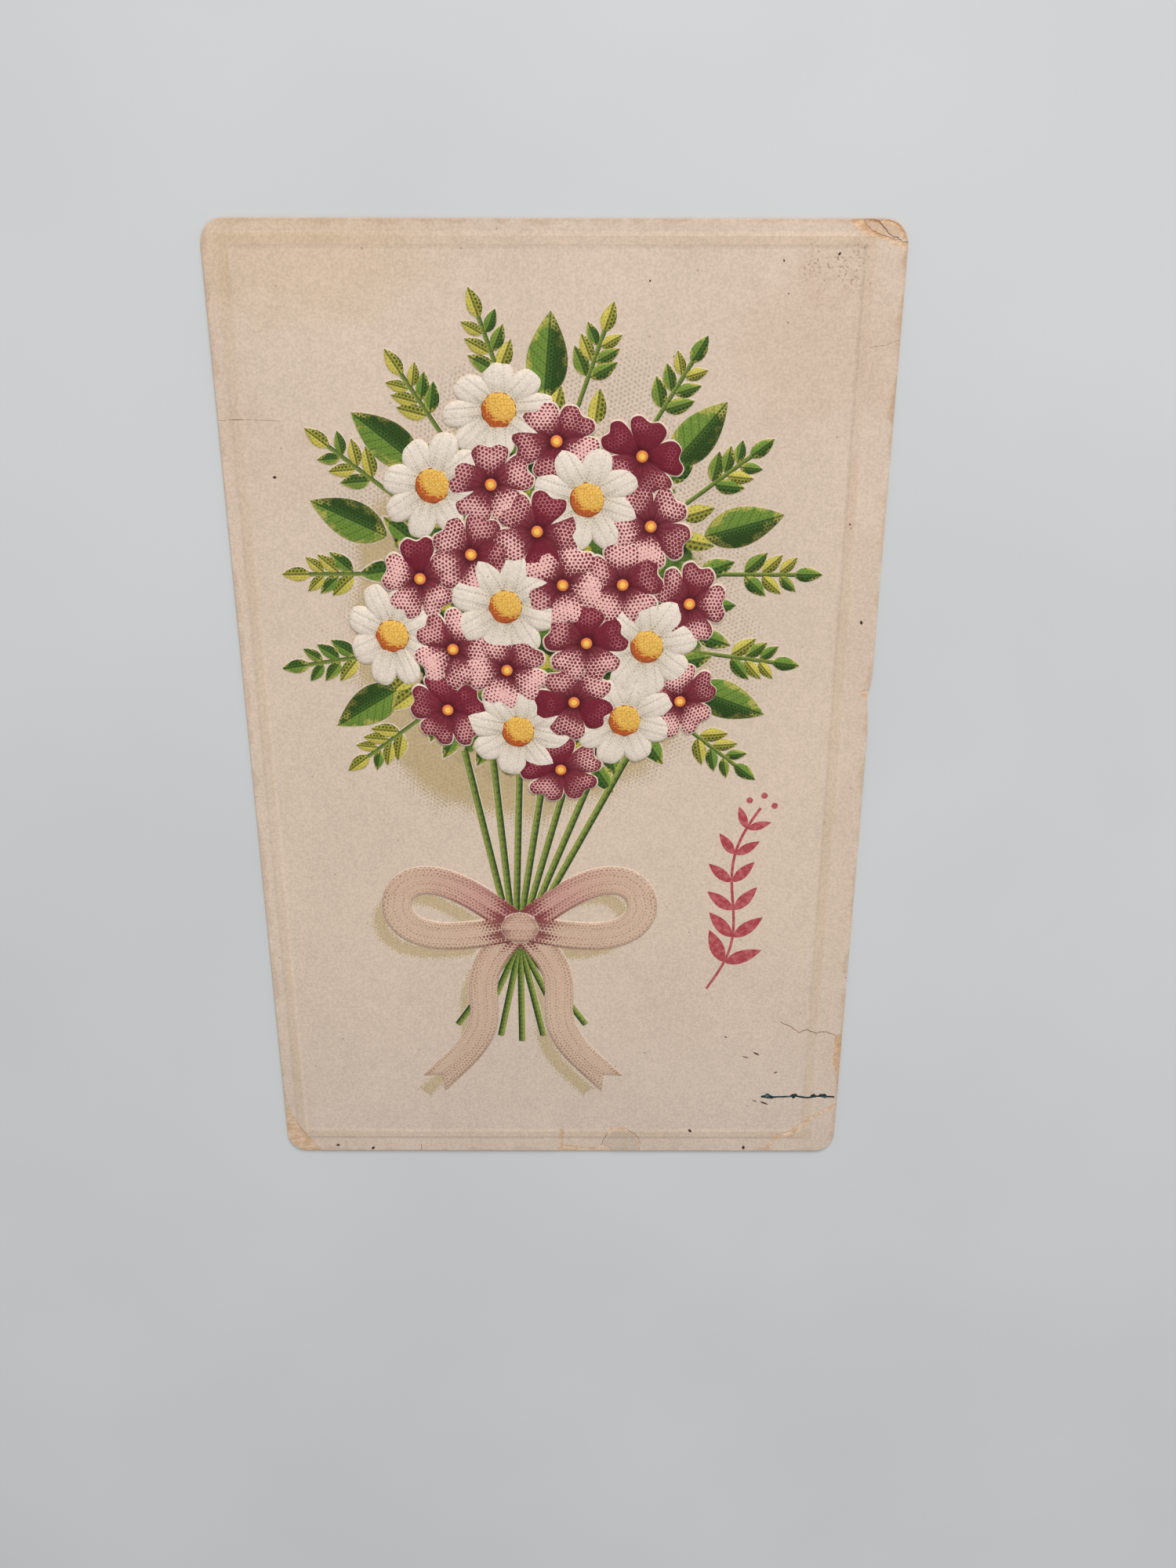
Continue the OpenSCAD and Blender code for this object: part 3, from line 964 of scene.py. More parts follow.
class OpenCrack(Finish):
    """Broken surface along a crack or a crease."""

    TAN = colour(178, 140, 104)
    DARK = colour(128, 98, 78)
    DUST = colour(198, 164, 130)

    def colours(self, t: Tree) -> tuple[Any, Any]:
        """Give the crack a darker core with dirt in it.

        Args:
            t: The finish's node tree.

        Returns:
            The colour and the relief.
        """
        dirt = t.noise(self.place, 900.0, 3.0)
        paint = t.mix(self.tone, self.TAN, self.DARK)
        return t.mix(t.ease(dirt, 0.35, 0.65, 0.0, 0.6), paint, self.DUST), dirt


class MauvePetal(Finish):
    """Domed petal printed in rows of mauve dots."""

    ROOT = 4.08
    PALE = colour(232, 182, 174)
    MIDDLE = colour(164, 80, 90)
    DARK = colour(108, 26, 42)
    DEEP = colour(62, 10, 20)
    # Unprinted rim lightened beyond the stock: painted highlight of the embossed edge.
    BARE_RIM_HIGHLIGHT = colour(226, 203, 187)

    def colours(self, t: Tree) -> tuple[Any, Any]:
        """Give the petal its dots, larger towards the throat and the rim.

        Args:
            t: The finish's node tree.

        Returns:
            The colour and the relief.
        """
        root = t.ease(self.along, 0.6, self.ROOT, 1.0, 0.0)
        light = t.math("MULTIPLY", t.ease(self.rim, 0.0, 0.6, 0.1, 0.0),
                       t.math("SUBTRACT", 1.0, self.tone))
        base = t.mix(t.ease(self.tone, 0.4, 1.0), self.PALE, self.MIDDLE)
        size = t.math("ADD", t.math("MULTIPLY", self.tone, 0.36), t.math("MULTIPLY", root, 0.3))
        size = t.math("ADD", size, t.ease(self.rim, 0.55, 0.98, 0.15, 0.27))
        size = t.math("SUBTRACT", size, light)
        wave = t.ease(t.noise(self.place, 420.0, 1.0), 0.3, 0.7, -0.07, 0.07)
        dots = t.screen(self.printed, 1.7, t.math("ADD", size, wave), 0.2)
        paint = t.mix(t.math("MULTIPLY", dots, 0.95), base, self.DARK)
        slant = t.math("DIVIDE", self.across, t.math("MAXIMUM", self.along, 0.4))
        fan = t.math("COSINE", t.math("MULTIPLY", slant, 15.0))
        streak = t.math("MULTIPLY", t.ease(fan, 0.1, 0.9), t.ease(self.along, 1.4, 3.8, 0.8, 0.0))
        paint = t.mix(streak, paint, self.DARK)
        paint = t.mix(t.ease(self.along, 0.6, 2.0, 0.8, 0.0), paint, self.DEEP)
        # Pale line on the petal's steep edge: painted highlight of the embossing over unprinted
        # paper.
        paint = t.mix(t.ease(self.rim, 0.955, 0.985), paint, self.BARE_RIM_HIGHLIGHT)
        return self.rimmed(t, paint), 0.0


class WhitePetal(Finish):
    """Long white petal with grooves along it."""

    WHITE = colour(224, 210, 194)
    ROOT = colour(206, 191, 171)
    STIPPLE = colour(146, 134, 114)
    # Unprinted rim lightened beyond the stock: painted highlight of the embossed edge.
    BARE_RIM_HIGHLIGHT = colour(220, 202, 184)
    bump = 0.6

    def colours(self, t: Tree) -> tuple[Any, Any]:
        """Give the petal two soft grooves with a little grey stipple in them.

        Args:
            t: The finish's node tree.

        Returns:
            The colour and the relief.
        """
        wave = t.math("COSINE", t.math("MULTIPLY", self.across, 4.3))
        groove = t.ease(wave, -1.0, -0.1, 1.0, 0.0)
        root = t.ease(self.along, 1.5, 5.6, 1.0, 0.0)
        size = t.math("ADD", t.math("MULTIPLY", groove, 0.22), t.math("MULTIPLY", root, 0.22))
        size = t.math("ADD", size, t.ease(self.rim, 0.84, 1.0, -0.02, 0.12))
        white = t.mix(root, self.WHITE, self.ROOT)
        dots = t.math("MULTIPLY", t.screen(self.printed, 2.0, size), 0.5)
        paint = t.mix(dots, white, self.STIPPLE)
        # Pale skirt round the petal: painted highlight of the embossing over unprinted paper.
        paint = t.mix(t.ease(self.rim, 0.985, 1.05), paint, self.BARE_RIM_HIGHLIGHT)
        return paint, t.math("MULTIPLY", groove, -1.1)


class Button(Finish):
    """Yellow button of a white flower with an orange shaded side."""

    RADIUS = 2.3
    LIGHT = colour(234, 196, 106)
    YELLOW = colour(214, 162, 70)
    ORANGE = colour(182, 88, 44)
    BROWN = colour(120, 62, 34)
    # Unprinted rim lightened beyond the stock: painted highlight of the embossed edge.
    BARE_RIM_HIGHLIGHT = colour(214, 196, 160)
    bump = 0.5

    def colours(self, t: Tree) -> tuple[Any, Any]:
        """Give the button its granules, orange dots below and a brown foot.

        Args:
            t: The finish's node tree.

        Returns:
            The colour and the relief.
        """
        lean = t.math("ADD", self.along, t.math("MULTIPLY", self.across, 1.3))
        low = t.math("MULTIPLY", lean, -0.42 / self.RADIUS)
        deep = t.math("ADD", low, t.math("MULTIPLY", self.rim, 0.75))
        size = t.ease(deep, 0.25, 1.15, 0.02, 0.72)
        grains = t.cells(self.printed, 2.7, 0.7)
        yellow = t.mix(t.ease(grains, 0.1, 0.5), self.LIGHT, self.YELLOW)
        paint = t.mix(t.dots(self.printed, 2.7, size, 0.7), yellow, self.ORANGE)
        foot = t.math("MULTIPLY", t.ease(self.rim, 0.93, 1.0),
                      t.dots(self.printed, 1.5, 0.45, 0.9))
        paint = t.mix(foot, paint, self.BROWN)
        # Pale skirt round the button: painted highlight of the embossing over unprinted paper.
        paint = t.mix(t.ease(self.rim, 1.0, 1.05), paint, self.BARE_RIM_HIGHLIGHT)
        return paint, t.math("MULTIPLY", grains, -1.2)


class Throat(Finish):
    """Orange throat of a mauve blossom."""

    YELLOW = colour(244, 204, 96)
    ORANGE = colour(222, 128, 62)
    DARK = colour(120, 40, 60)

    def colours(self, t: Tree) -> tuple[Any, Any]:
        """Give the throat a yellow middle in an orange ring."""
        middle = t.mix(t.ease(self.rim, 0.25, 0.75), self.YELLOW, self.ORANGE)
        return t.mix(t.ease(self.rim, 0.9, 1.04), middle, self.DARK), 0.0


class Bed(PaperFace):
    """Leaves filling the gaps between the flowers, ragged at their outer ends."""

    GREENS = (colour(50, 76, 28), colour(94, 122, 46))
    FLECK = colour(184, 170, 64)
    HOLLOW = colour(34, 42, 20)
    STIPPLE = colour(32, 48, 20)

    def colours(self, t: Tree) -> tuple[Any, Any]:
        """Give the gaps their greens, yellow flecks and dark hollows.

        Args:
            t: The finish's node tree.

        Returns:
            The colour and the relief.
        """
        bare, relief = super().colours(t)
        green = t.mix(t.ease(t.noise(self.place, 300.0, 2.0), 0.38, 0.6), *self.GREENS)
        fleck = t.ease(t.noise(self.place, 520.0, 1.0), 0.58, 0.66)
        green = t.mix(fleck, green, self.FLECK)
        gaps = t.noise(t.stretched(self.place, 1.0, 1.4, 1.0), 240.0, 1.0)
        paint = t.mix(t.ease(gaps, 0.54, 0.62), green, self.HOLLOW)
        dots = t.math("MULTIPLY", t.dots(self.place, 2300.0, 0.26, 0.4), 0.5)
        paint = t.mix(dots, paint, self.STIPPLE)
        wave = t.ease(t.noise(self.place, 420.0, 2.0), 0.3, 0.7, -0.07, 0.07)
        ends = t.ease(t.math("ADD", self.rim, wave), 0.84, 0.88)
        return t.mix(ends, paint, bare), relief


class Leaf(Finish):
    """Leaf with a midrib, shaded on one half and yellow at its rim."""

    VEIN = 0.0
    FRESH = (colour(62, 92, 36), colour(106, 134, 54))
    DRY = (colour(148, 142, 56), colour(200, 184, 84))
    RIM = colour(180, 170, 84)
    STIPPLE = colour(34, 54, 18)
    RIB = colour(40, 60, 26)
    bump = 0.4

    def colours(self, t: Tree) -> tuple[Any, Any]:
        """Give the leaf its halves, veins and stippled shade.

        Args:
            t: The finish's node tree.

        Returns:
            The colour and the relief.
        """
        side = t.ease(self.across, -0.25, 0.25)
        fresh = t.mix(side, *self.FRESH)
        dry = t.mix(side, *self.DRY)
        paint = t.mix(t.ease(self.tone, 0.45, 0.75), fresh, dry)
        wave = t.ease(t.noise(self.place, 700.0, 1.0), 0.3, 0.7, -0.2, 0.2)
        yellow = t.ease(t.math("ADD", self.rim, wave), 0.74, 0.98, 0.0, 0.75)
        paint = t.mix(yellow, paint, self.RIM)
        size = t.ease(self.across, 0.5, -1.2, 0.12, 0.5)
        dots = t.math("MULTIPLY", t.screen(self.printed, 2.0, size), 0.8)
        paint = t.mix(dots, paint, self.STIPPLE)
        off = t.math("ABSOLUTE", self.across)
        rib = t.ease(off, 0.07, 0.2, 1.0, 0.0)
        relief = t.math("MULTIPLY", rib, -1.0)
        if self.VEIN:
            slant = t.math("SUBTRACT", self.along, t.math("MULTIPLY", off, 0.9))
            vein = t.ease(t.math("COSINE", t.math("MULTIPLY", slant, self.VEIN)), 0.8, 0.98)
            rib = t.math("MAXIMUM", rib, t.math("MULTIPLY", vein, 0.6))
            relief = t.math("SUBTRACT", relief, t.math("MULTIPLY", vein, 0.6))
        paint = t.mix(t.math("MULTIPLY", rib, 0.6), paint, self.RIB)
        return self.rimmed(t, paint), relief


class BroadLeaf(Leaf):
    """Larger leaf with side veins."""

    VEIN = 4.4


class Stem(Finish):
    """Green stem, light on one side."""

    DARK = colour(60, 86, 36)
    LIGHT = colour(140, 150, 70)
    STIPPLE = colour(40, 58, 26)

    def colours(self, t: Tree) -> tuple[Any, Any]:
        """Give the stem its light side and its stippled dark one.

        Args:
            t: The finish's node tree.

        Returns:
            The colour and the relief.
        """
        paint = t.mix(t.ease(self.across, -0.4, 0.4), self.DARK, self.LIGHT)
        size = t.ease(self.across, 0.3, -0.5, 0.1, 0.5)
        dots = t.math("MULTIPLY", t.dots(self.printed, 2.6, size, 0.3), 0.7)
        return self.rimmed(t, t.mix(dots, paint, self.STIPPLE)), 0.0


class Ribbon(Finish):
    """Beige ribbon, rosier on its inner side, stippled in its folds."""

    BEIGE = colour(204, 176, 152)
    ROSY = colour(196, 148, 136)
    FOLD = (colour(146, 108, 84), colour(136, 74, 72))
    KNOT = colour(118, 36, 50)

    def colours(self, t: Tree) -> tuple[Any, Any]:
        """Give the ribbon its weave, its shaded rims and the dark dots at the knot.

        Args:
            t: The finish's node tree.

        Returns:
            The colour and the relief.
        """
        rosy = t.math("MULTIPLY", self.tone, t.ease(self.along, 5.0, 19.0, 1.0, 0.12))
        base = t.mix(rosy, self.BEIGE, self.ROSY)
        fold = t.noise(t.stretched(self.printed, 0.05, 0.9, 1.0), 1.0, 1.0)
        size = t.math("ADD", t.ease(self.rim, 0.45, 1.0, 0.08, 0.4),
                      t.ease(fold, 0.35, 0.65, -0.1, 0.2))
        size = t.math("ADD", size, t.math("MULTIPLY", rosy, 0.12))
        dots = t.math("MULTIPLY", t.screen(self.printed, 1.9, size, 0.3), 0.62)
        paint = t.mix(dots, base, t.mix(rosy, *self.FOLD))
        knot = t.math("ADD", t.ease(self.along, 1.0, 7.5, 0.5, -0.1),
                      t.ease(fold, 0.3, 0.7, -0.14, 0.1))
        dots = t.math("MULTIPLY", t.screen(self.printed, 1.7, knot), 0.85)
        paint = t.mix(dots, paint, self.KNOT)
        rib = t.math("SINE", t.math("MULTIPLY", self.across, 15.0))
        return self.rimmed(t, paint), t.math("MULTIPLY", rib, 0.12)


class Shade(PaperFace):
    """Khaki stippled shade beside the ribbon, fading into the stock."""

    def colours(self, t: Tree) -> tuple[Any, Any]:
        """Lay the khaki dots over the stock's own tints."""
        paint, relief = super().colours(t)
        return self.shaded(t, paint, t.ease(self.rim, 0.2, 1.0, 0.52, -0.12)), relief


class RoseLine(Finish):
    """Rose printing ink."""

    FULL = colour(162, 64, 72)
    THIN = colour(184, 98, 98)

    def colours(self, t: Tree) -> tuple[Any, Any]:
        """Give the ink a slightly uneven cover."""
        thin = t.noise(self.place, 1400.0, 2.0)
        return t.mix(t.ease(thin, 0.35, 0.7), self.FULL, self.THIN), 0.0


class PenStroke(Finish):
    """Dark teal pen ink, thin and uneven."""

    FULL = colour(26, 46, 48)
    THIN = colour(84, 104, 102)

    def colours(self, t: Tree) -> tuple[Any, Any]:
        """Give the ink its pale gaps and dark pools."""
        thin = t.noise(self.place, 900.0, 2.0)
        return t.mix(t.ease(thin, 0.5, 0.72), self.FULL, self.THIN), 0.0


class Speck(Finish):
    """Small dark speck of dirt."""

    DARK = colour(54, 44, 38)
    RUSTY = colour(122, 90, 74)
    RIM = colour(160, 134, 114)

    def colours(self, t: Tree) -> tuple[Any, Any]:
        """Give the speck a dark middle."""
        dark = t.mix(self.tone, self.DARK, self.RUSTY)
        return t.mix(t.ease(self.rim, 0.6, 1.0), dark, self.RIM), 0.0


class InkRoom:
    """Builds each finish once and hands it out."""

    KINDS: dict[Ink, type[Finish]] = {
        Ink.FACE: PaperFace, Ink.BACK: PaperBack, Ink.EDGE: CutEdge, Ink.CORE: BaredCore,
        Ink.CRACK: OpenCrack, Ink.MAUVE: MauvePetal, Ink.WHITE: WhitePetal, Ink.BUTTON: Button,
        Ink.THROAT: Throat, Ink.BED: Bed, Ink.SPRIG: Leaf, Ink.LEAF: BroadLeaf, Ink.STEM: Stem,
        Ink.RIBBON: Ribbon, Ink.SHADE: Shade, Ink.ROSE: RoseLine, Ink.PEN: PenStroke,
        Ink.SPECK: Speck,
    }

    def __init__(self) -> None:
        """Build all the finishes."""
        ageing = Ageing().build()
        self.made = {ink: kind(ink, ageing).material for ink, kind in self.KINDS.items()}

    def __getitem__(self, ink: Ink) -> bpy.types.Material:
        """Hand out a finish's material."""
        return self.made[ink]


@dataclass
class Sheet:
    """Trimmed sheet of stock, in millimetres."""

    width: float = 88.9
    height: float = 139.7
    stock: float = 0.45
    corner: float = 3.0
    corner_steps: int = 9
    edge_round: float = 0.07
    edge_steps: int = 2
    edge_angle: float = 60.0
    cell: float = 4.0
    cell_shift: float = 0.13
    steep: float = 0.5

    def outline(self) -> list[Point]:
        """Draw the sheet's outline with its rounded corners, anticlockwise.

        Returns:
            The outline.
        """
        points = []
        for k, (sx, sy) in enumerate(((1, 1), (-1, 1), (-1, -1), (1, -1))):
            middle = (sx * (self.width / 2 - self.corner), sy * (self.height / 2 - self.corner))
            for step in range(self.corner_steps + 1):
                a = math.radians(90 * (k + step / self.corner_steps))
                points.append((middle[0] + self.corner * math.cos(a),
                               middle[1] + self.corner * math.sin(a)))
        return points

    def build(self, inks: InkRoom) -> Piece:
        """Model the sheet and give its face, back and edge their finishes.

        Args:
            inks: The finishes.

        Returns:
            The closed sheet.
        """
        Bench.disc(self.outline())
        bpy.ops.mesh.extrude_region_move(TRANSFORM_OT_translate={"value": (0, 0, self.stock)})
        sheet = Bench.close("postcard")
        rounding = sheet.modifiers.new("worn_edge", "BEVEL")
        rounding.width = self.edge_round
        rounding.segments = self.edge_steps
        rounding.limit_method = "ANGLE"
        rounding.angle_limit = math.radians(self.edge_angle)
        bpy.context.view_layer.objects.active = sheet
        bpy.ops.object.modifier_apply(modifier=rounding.name)
        bpy.ops.object.mode_set(mode="EDIT")
        for axis, length in enumerate((self.width, self.height)):
            cuts = round(length / self.cell)
            for k in range(1, cuts):
                place, way = [0.0, 0.0, 0.0], [0.0, 0.0, 0.0]
                place[axis], way[axis] = length * (k / cuts - 0.5) + self.cell_shift, 1.0
                bpy.ops.mesh.select_all(action="SELECT")
                bpy.ops.mesh.bisect(plane_co=place, plane_no=way)
        bpy.ops.object.mode_set(mode="OBJECT")
        for ink in (Ink.FACE, Ink.BACK, Ink.EDGE):
            sheet.data.materials.append(inks[ink])
        for polygon in sheet.data.polygons:
            up = polygon.normal.z
            polygon.material_index = 0 if up > self.steep else 1 if up < -self.steep else 2
        return sheet


class Press:
    """Collects the dies and strikes them into the sheet."""

    HOLLOW = 0.85
    SMOOTH = 38.0
    FLAT = 0.99999

    def __init__(self, sheet: Piece, sizes: Sheet, inks: InkRoom) -> None:
        """Lay the sheet in the press.

        Args:
            sheet: The trimmed sheet.
            sizes: Its sizes.
            inks: The finishes.
        """
        self.sheet = sheet
        self.sizes = sizes
        self.inks = inks
        self.count = 0
        self.drape: Callable[[float, float], float] = lambda x, y: 0.0
        self.trays: dict[str, bpy.types.Collection] = {}
        for name in ("raised", "hollow", "cut"):
            tray = bpy.data.collections.new(name)
            bpy.context.scene.collection.children.link(tray)
            self.trays[name] = tray

    def lay(self, tray: str, mesh: bpy.types.Mesh) -> None:
        """Put a die's mesh in a tray as an object of its own.

        Args:
            tray: The tray.
            mesh: The mesh.
        """
        self.count += 1
        die = bpy.data.objects.new(f"{tray}_{self.count}", mesh)
        self.trays[tray].objects.link(die)

    def placed(self, die: Piece, place: Matrix, ink: Ink) -> bpy.types.Mesh:
        """Copy a die's mesh to a place and ink it.

        Args:
            die: The die.
            place: Where the copy goes.
            ink: Its finish.

        Returns:
            The copy.
        """
        mesh = die.data.copy()
        mesh.transform(place)
        if place.determinant() < 0:
            mesh.flip_normals()
        mesh.materials.clear()
        mesh.materials.append(self.inks[ink])
        return mesh

    def strike(self, die: Piece, place: Matrix, ink: Ink, tone: float = 0.0,
               side: Side = Side.RAISED, hollow: Piece | None = None) -> None:
        """Lay one copy of a die at its place.

        Args:
            die: The die, modelled once.
            place: Where the copy goes.
            ink: Its finish.
            tone: Its tone, which the ink reads.
            side: Whether it is raised, a film or a cut.
            hollow: The die that presses the back, if the back shows it.
        """
        mesh = self.placed(die, place, ink)
        for entry in mesh.uv_layers[RIM_MAP].data:
            entry.uv = (entry.uv[0], tone)
        if side is Side.FILM:
            for vert in mesh.vertices:
                vert.co.z += self.drape(vert.co.x, vert.co.y)
        self.lay("cut" if side is Side.CUT else "raised", mesh)
        if hollow is not None:
            counter = self.placed(hollow, place, Ink.BACK)
            counter.transform(Matrix.Translation((0, 0, -self.sizes.stock)))
            counter.transform(grown(1.0, 1.0, self.HOLLOW))
            self.lay("hollow", counter)

    def join(self, tray: str, operation: str) -> None:
        """Apply one tray to the sheet and empty it.

        Args:
            tray: The tray.
            operation: The Boolean modifier's operation.
        """
        act = self.sheet.modifiers.new(tray, "BOOLEAN")
        act.operation = operation
        act.operand_type = "COLLECTION"
        act.collection = self.trays[tray]
        act.solver = "MANIFOLD"
        act.material_mode = "TRANSFER"
        Bench.clear()
        self.sheet.select_set(True)
        bpy.context.view_layer.objects.active = self.sheet
        bpy.ops.object.modifier_apply(modifier=act.name)
        for die in list(self.trays[tray].objects):
            bpy.data.objects.remove(die)
        bpy.data.collections.remove(self.trays[tray])
        LOG.info("press: %s joined, %d faces", tray, len(self.sheet.data.polygons))

    def finish(self) -> Piece:
        """Strike all the trays, smooth the relief and bring the card to metres.

        Returns:
            The finished card.
        """
        self.join("raised", "UNION")
        self.join("hollow", "DIFFERENCE")
        self.join("cut", "DIFFERENCE")
        bpy.ops.object.shade_smooth_by_angle(angle=math.radians(self.SMOOTH))
        for polygon in self.sheet.data.polygons:
            if abs(polygon.normal.z) > self.FLAT:
                polygon.use_smooth = False
        self.sheet.scale = (MM, MM, MM)
        bpy.ops.object.transform_apply(location=False, rotation=False, scale=True)
        return self.sheet


def at(x: float, y: float, z: float, turn: float = 0.0) -> Matrix:
    """Give a place on the sheet.

    Args:
        x: To the right, in millimetres.
        y: Upwards.
        z: Off the back's plane.
        turn: Anticlockwise, in degrees.

    Returns:
        The place as a matrix.
    """
    return Matrix.Translation((x, y, z)) @ Matrix.Rotation(math.radians(turn), 4, "Z")


def grown(x: float, y: float, z: float = 1.0) -> Matrix:
    """Give a change of size by its directions."""
    return Matrix.Diagonal((x, y, z, 1.0))


@dataclass
class BorderBand:
    """Raised band round the picture, off centre as the sheet was trimmed."""

    left: float = 2.5
    right: float = 4.7
    top: float = 2.5
    bottom: float = 3.3
    foot: float = 2.1
    crest: float = 0.95
    rise: float = 0.11
    sink: float = 0.004
    depth: float = 0.3
    shoulder: float = 0.3

    def lines(self, sizes: Sheet) -> tuple[float, float, float, float]:
        """Give the middle lines of the band's four runs.

        Args:
            sizes: The sheet that the band is on.

        Returns:
            Their places: left, right, bottom and top.
        """
        return (-sizes.width / 2 + self.left, sizes.width / 2 - self.right,
                -sizes.height / 2 + self.bottom, sizes.height / 2 - self.top)

    def build(self, press: Press) -> None:
        """Model the band as one frame and lay it in the press.

        Args:
            press: The press.
        """
        sizes = press.sizes
        x0, x1, y0, y1 = self.lines(sizes)
        slope = (self.foot - self.crest) / 2
        low, high = self.shoulder, 1.0 - self.shoulder
        Bench.clear()
        bpy.ops.mesh.primitive_plane_add(size=1.0, calc_uvs=False, enter_editmode=True,
                                         location=(0, 0, 0))
        bpy.ops.mesh.select_all(action="SELECT")
        Bench.stretch(x1 - x0 + self.foot, y1 - y0 + self.foot, (0.0, 0.0, 0.0))
        Bench.shift((x0 + x1) / 2, (y0 + y1) / 2, sizes.stock - self.sink)
        for width, rise in ((slope / 2, low), (slope / 2, high), (self.crest, 0.0),
                            (slope / 2, -high), (slope / 2, -low)):
            bpy.ops.mesh.inset(thickness=width, depth=0.0)
            Bench.shift(0.0, 0.0, rise * self.rise)
        bpy.ops.mesh.delete(type="FACE")
        bpy.ops.mesh.select_all(action="SELECT")
        bpy.ops.mesh.extrude_region_move(TRANSFORM_OT_translate={"value": (0, 0, -self.depth)})
        band = Bench.close("border_band")
        Bench.map_print(band, lambda co: (co.x, co.y), lambda co: 2.0)
        press.strike(band, Matrix.Identity(4), Ink.FACE, hollow=band)

        def height(x: float, y: float) -> float:
            """Give the band's height over the face.

            Args:
                x: Place to the right.
                y: Place upwards.

            Returns:
                The height, 0 off the band.
            """
            if not (x0 - self.foot < x < x1 + self.foot and y0 - self.foot < y < y1 + self.foot):
                return 0.0
            off = min(abs(x - x0), abs(x - x1), abs(y - y0), abs(y - y1))
            return self.rise * min(1.0, max(0.0, (self.foot / 2 - off) / slope))

        press.drape = height
        bpy.data.objects.remove(band)
        LOG.info("border band: laid")


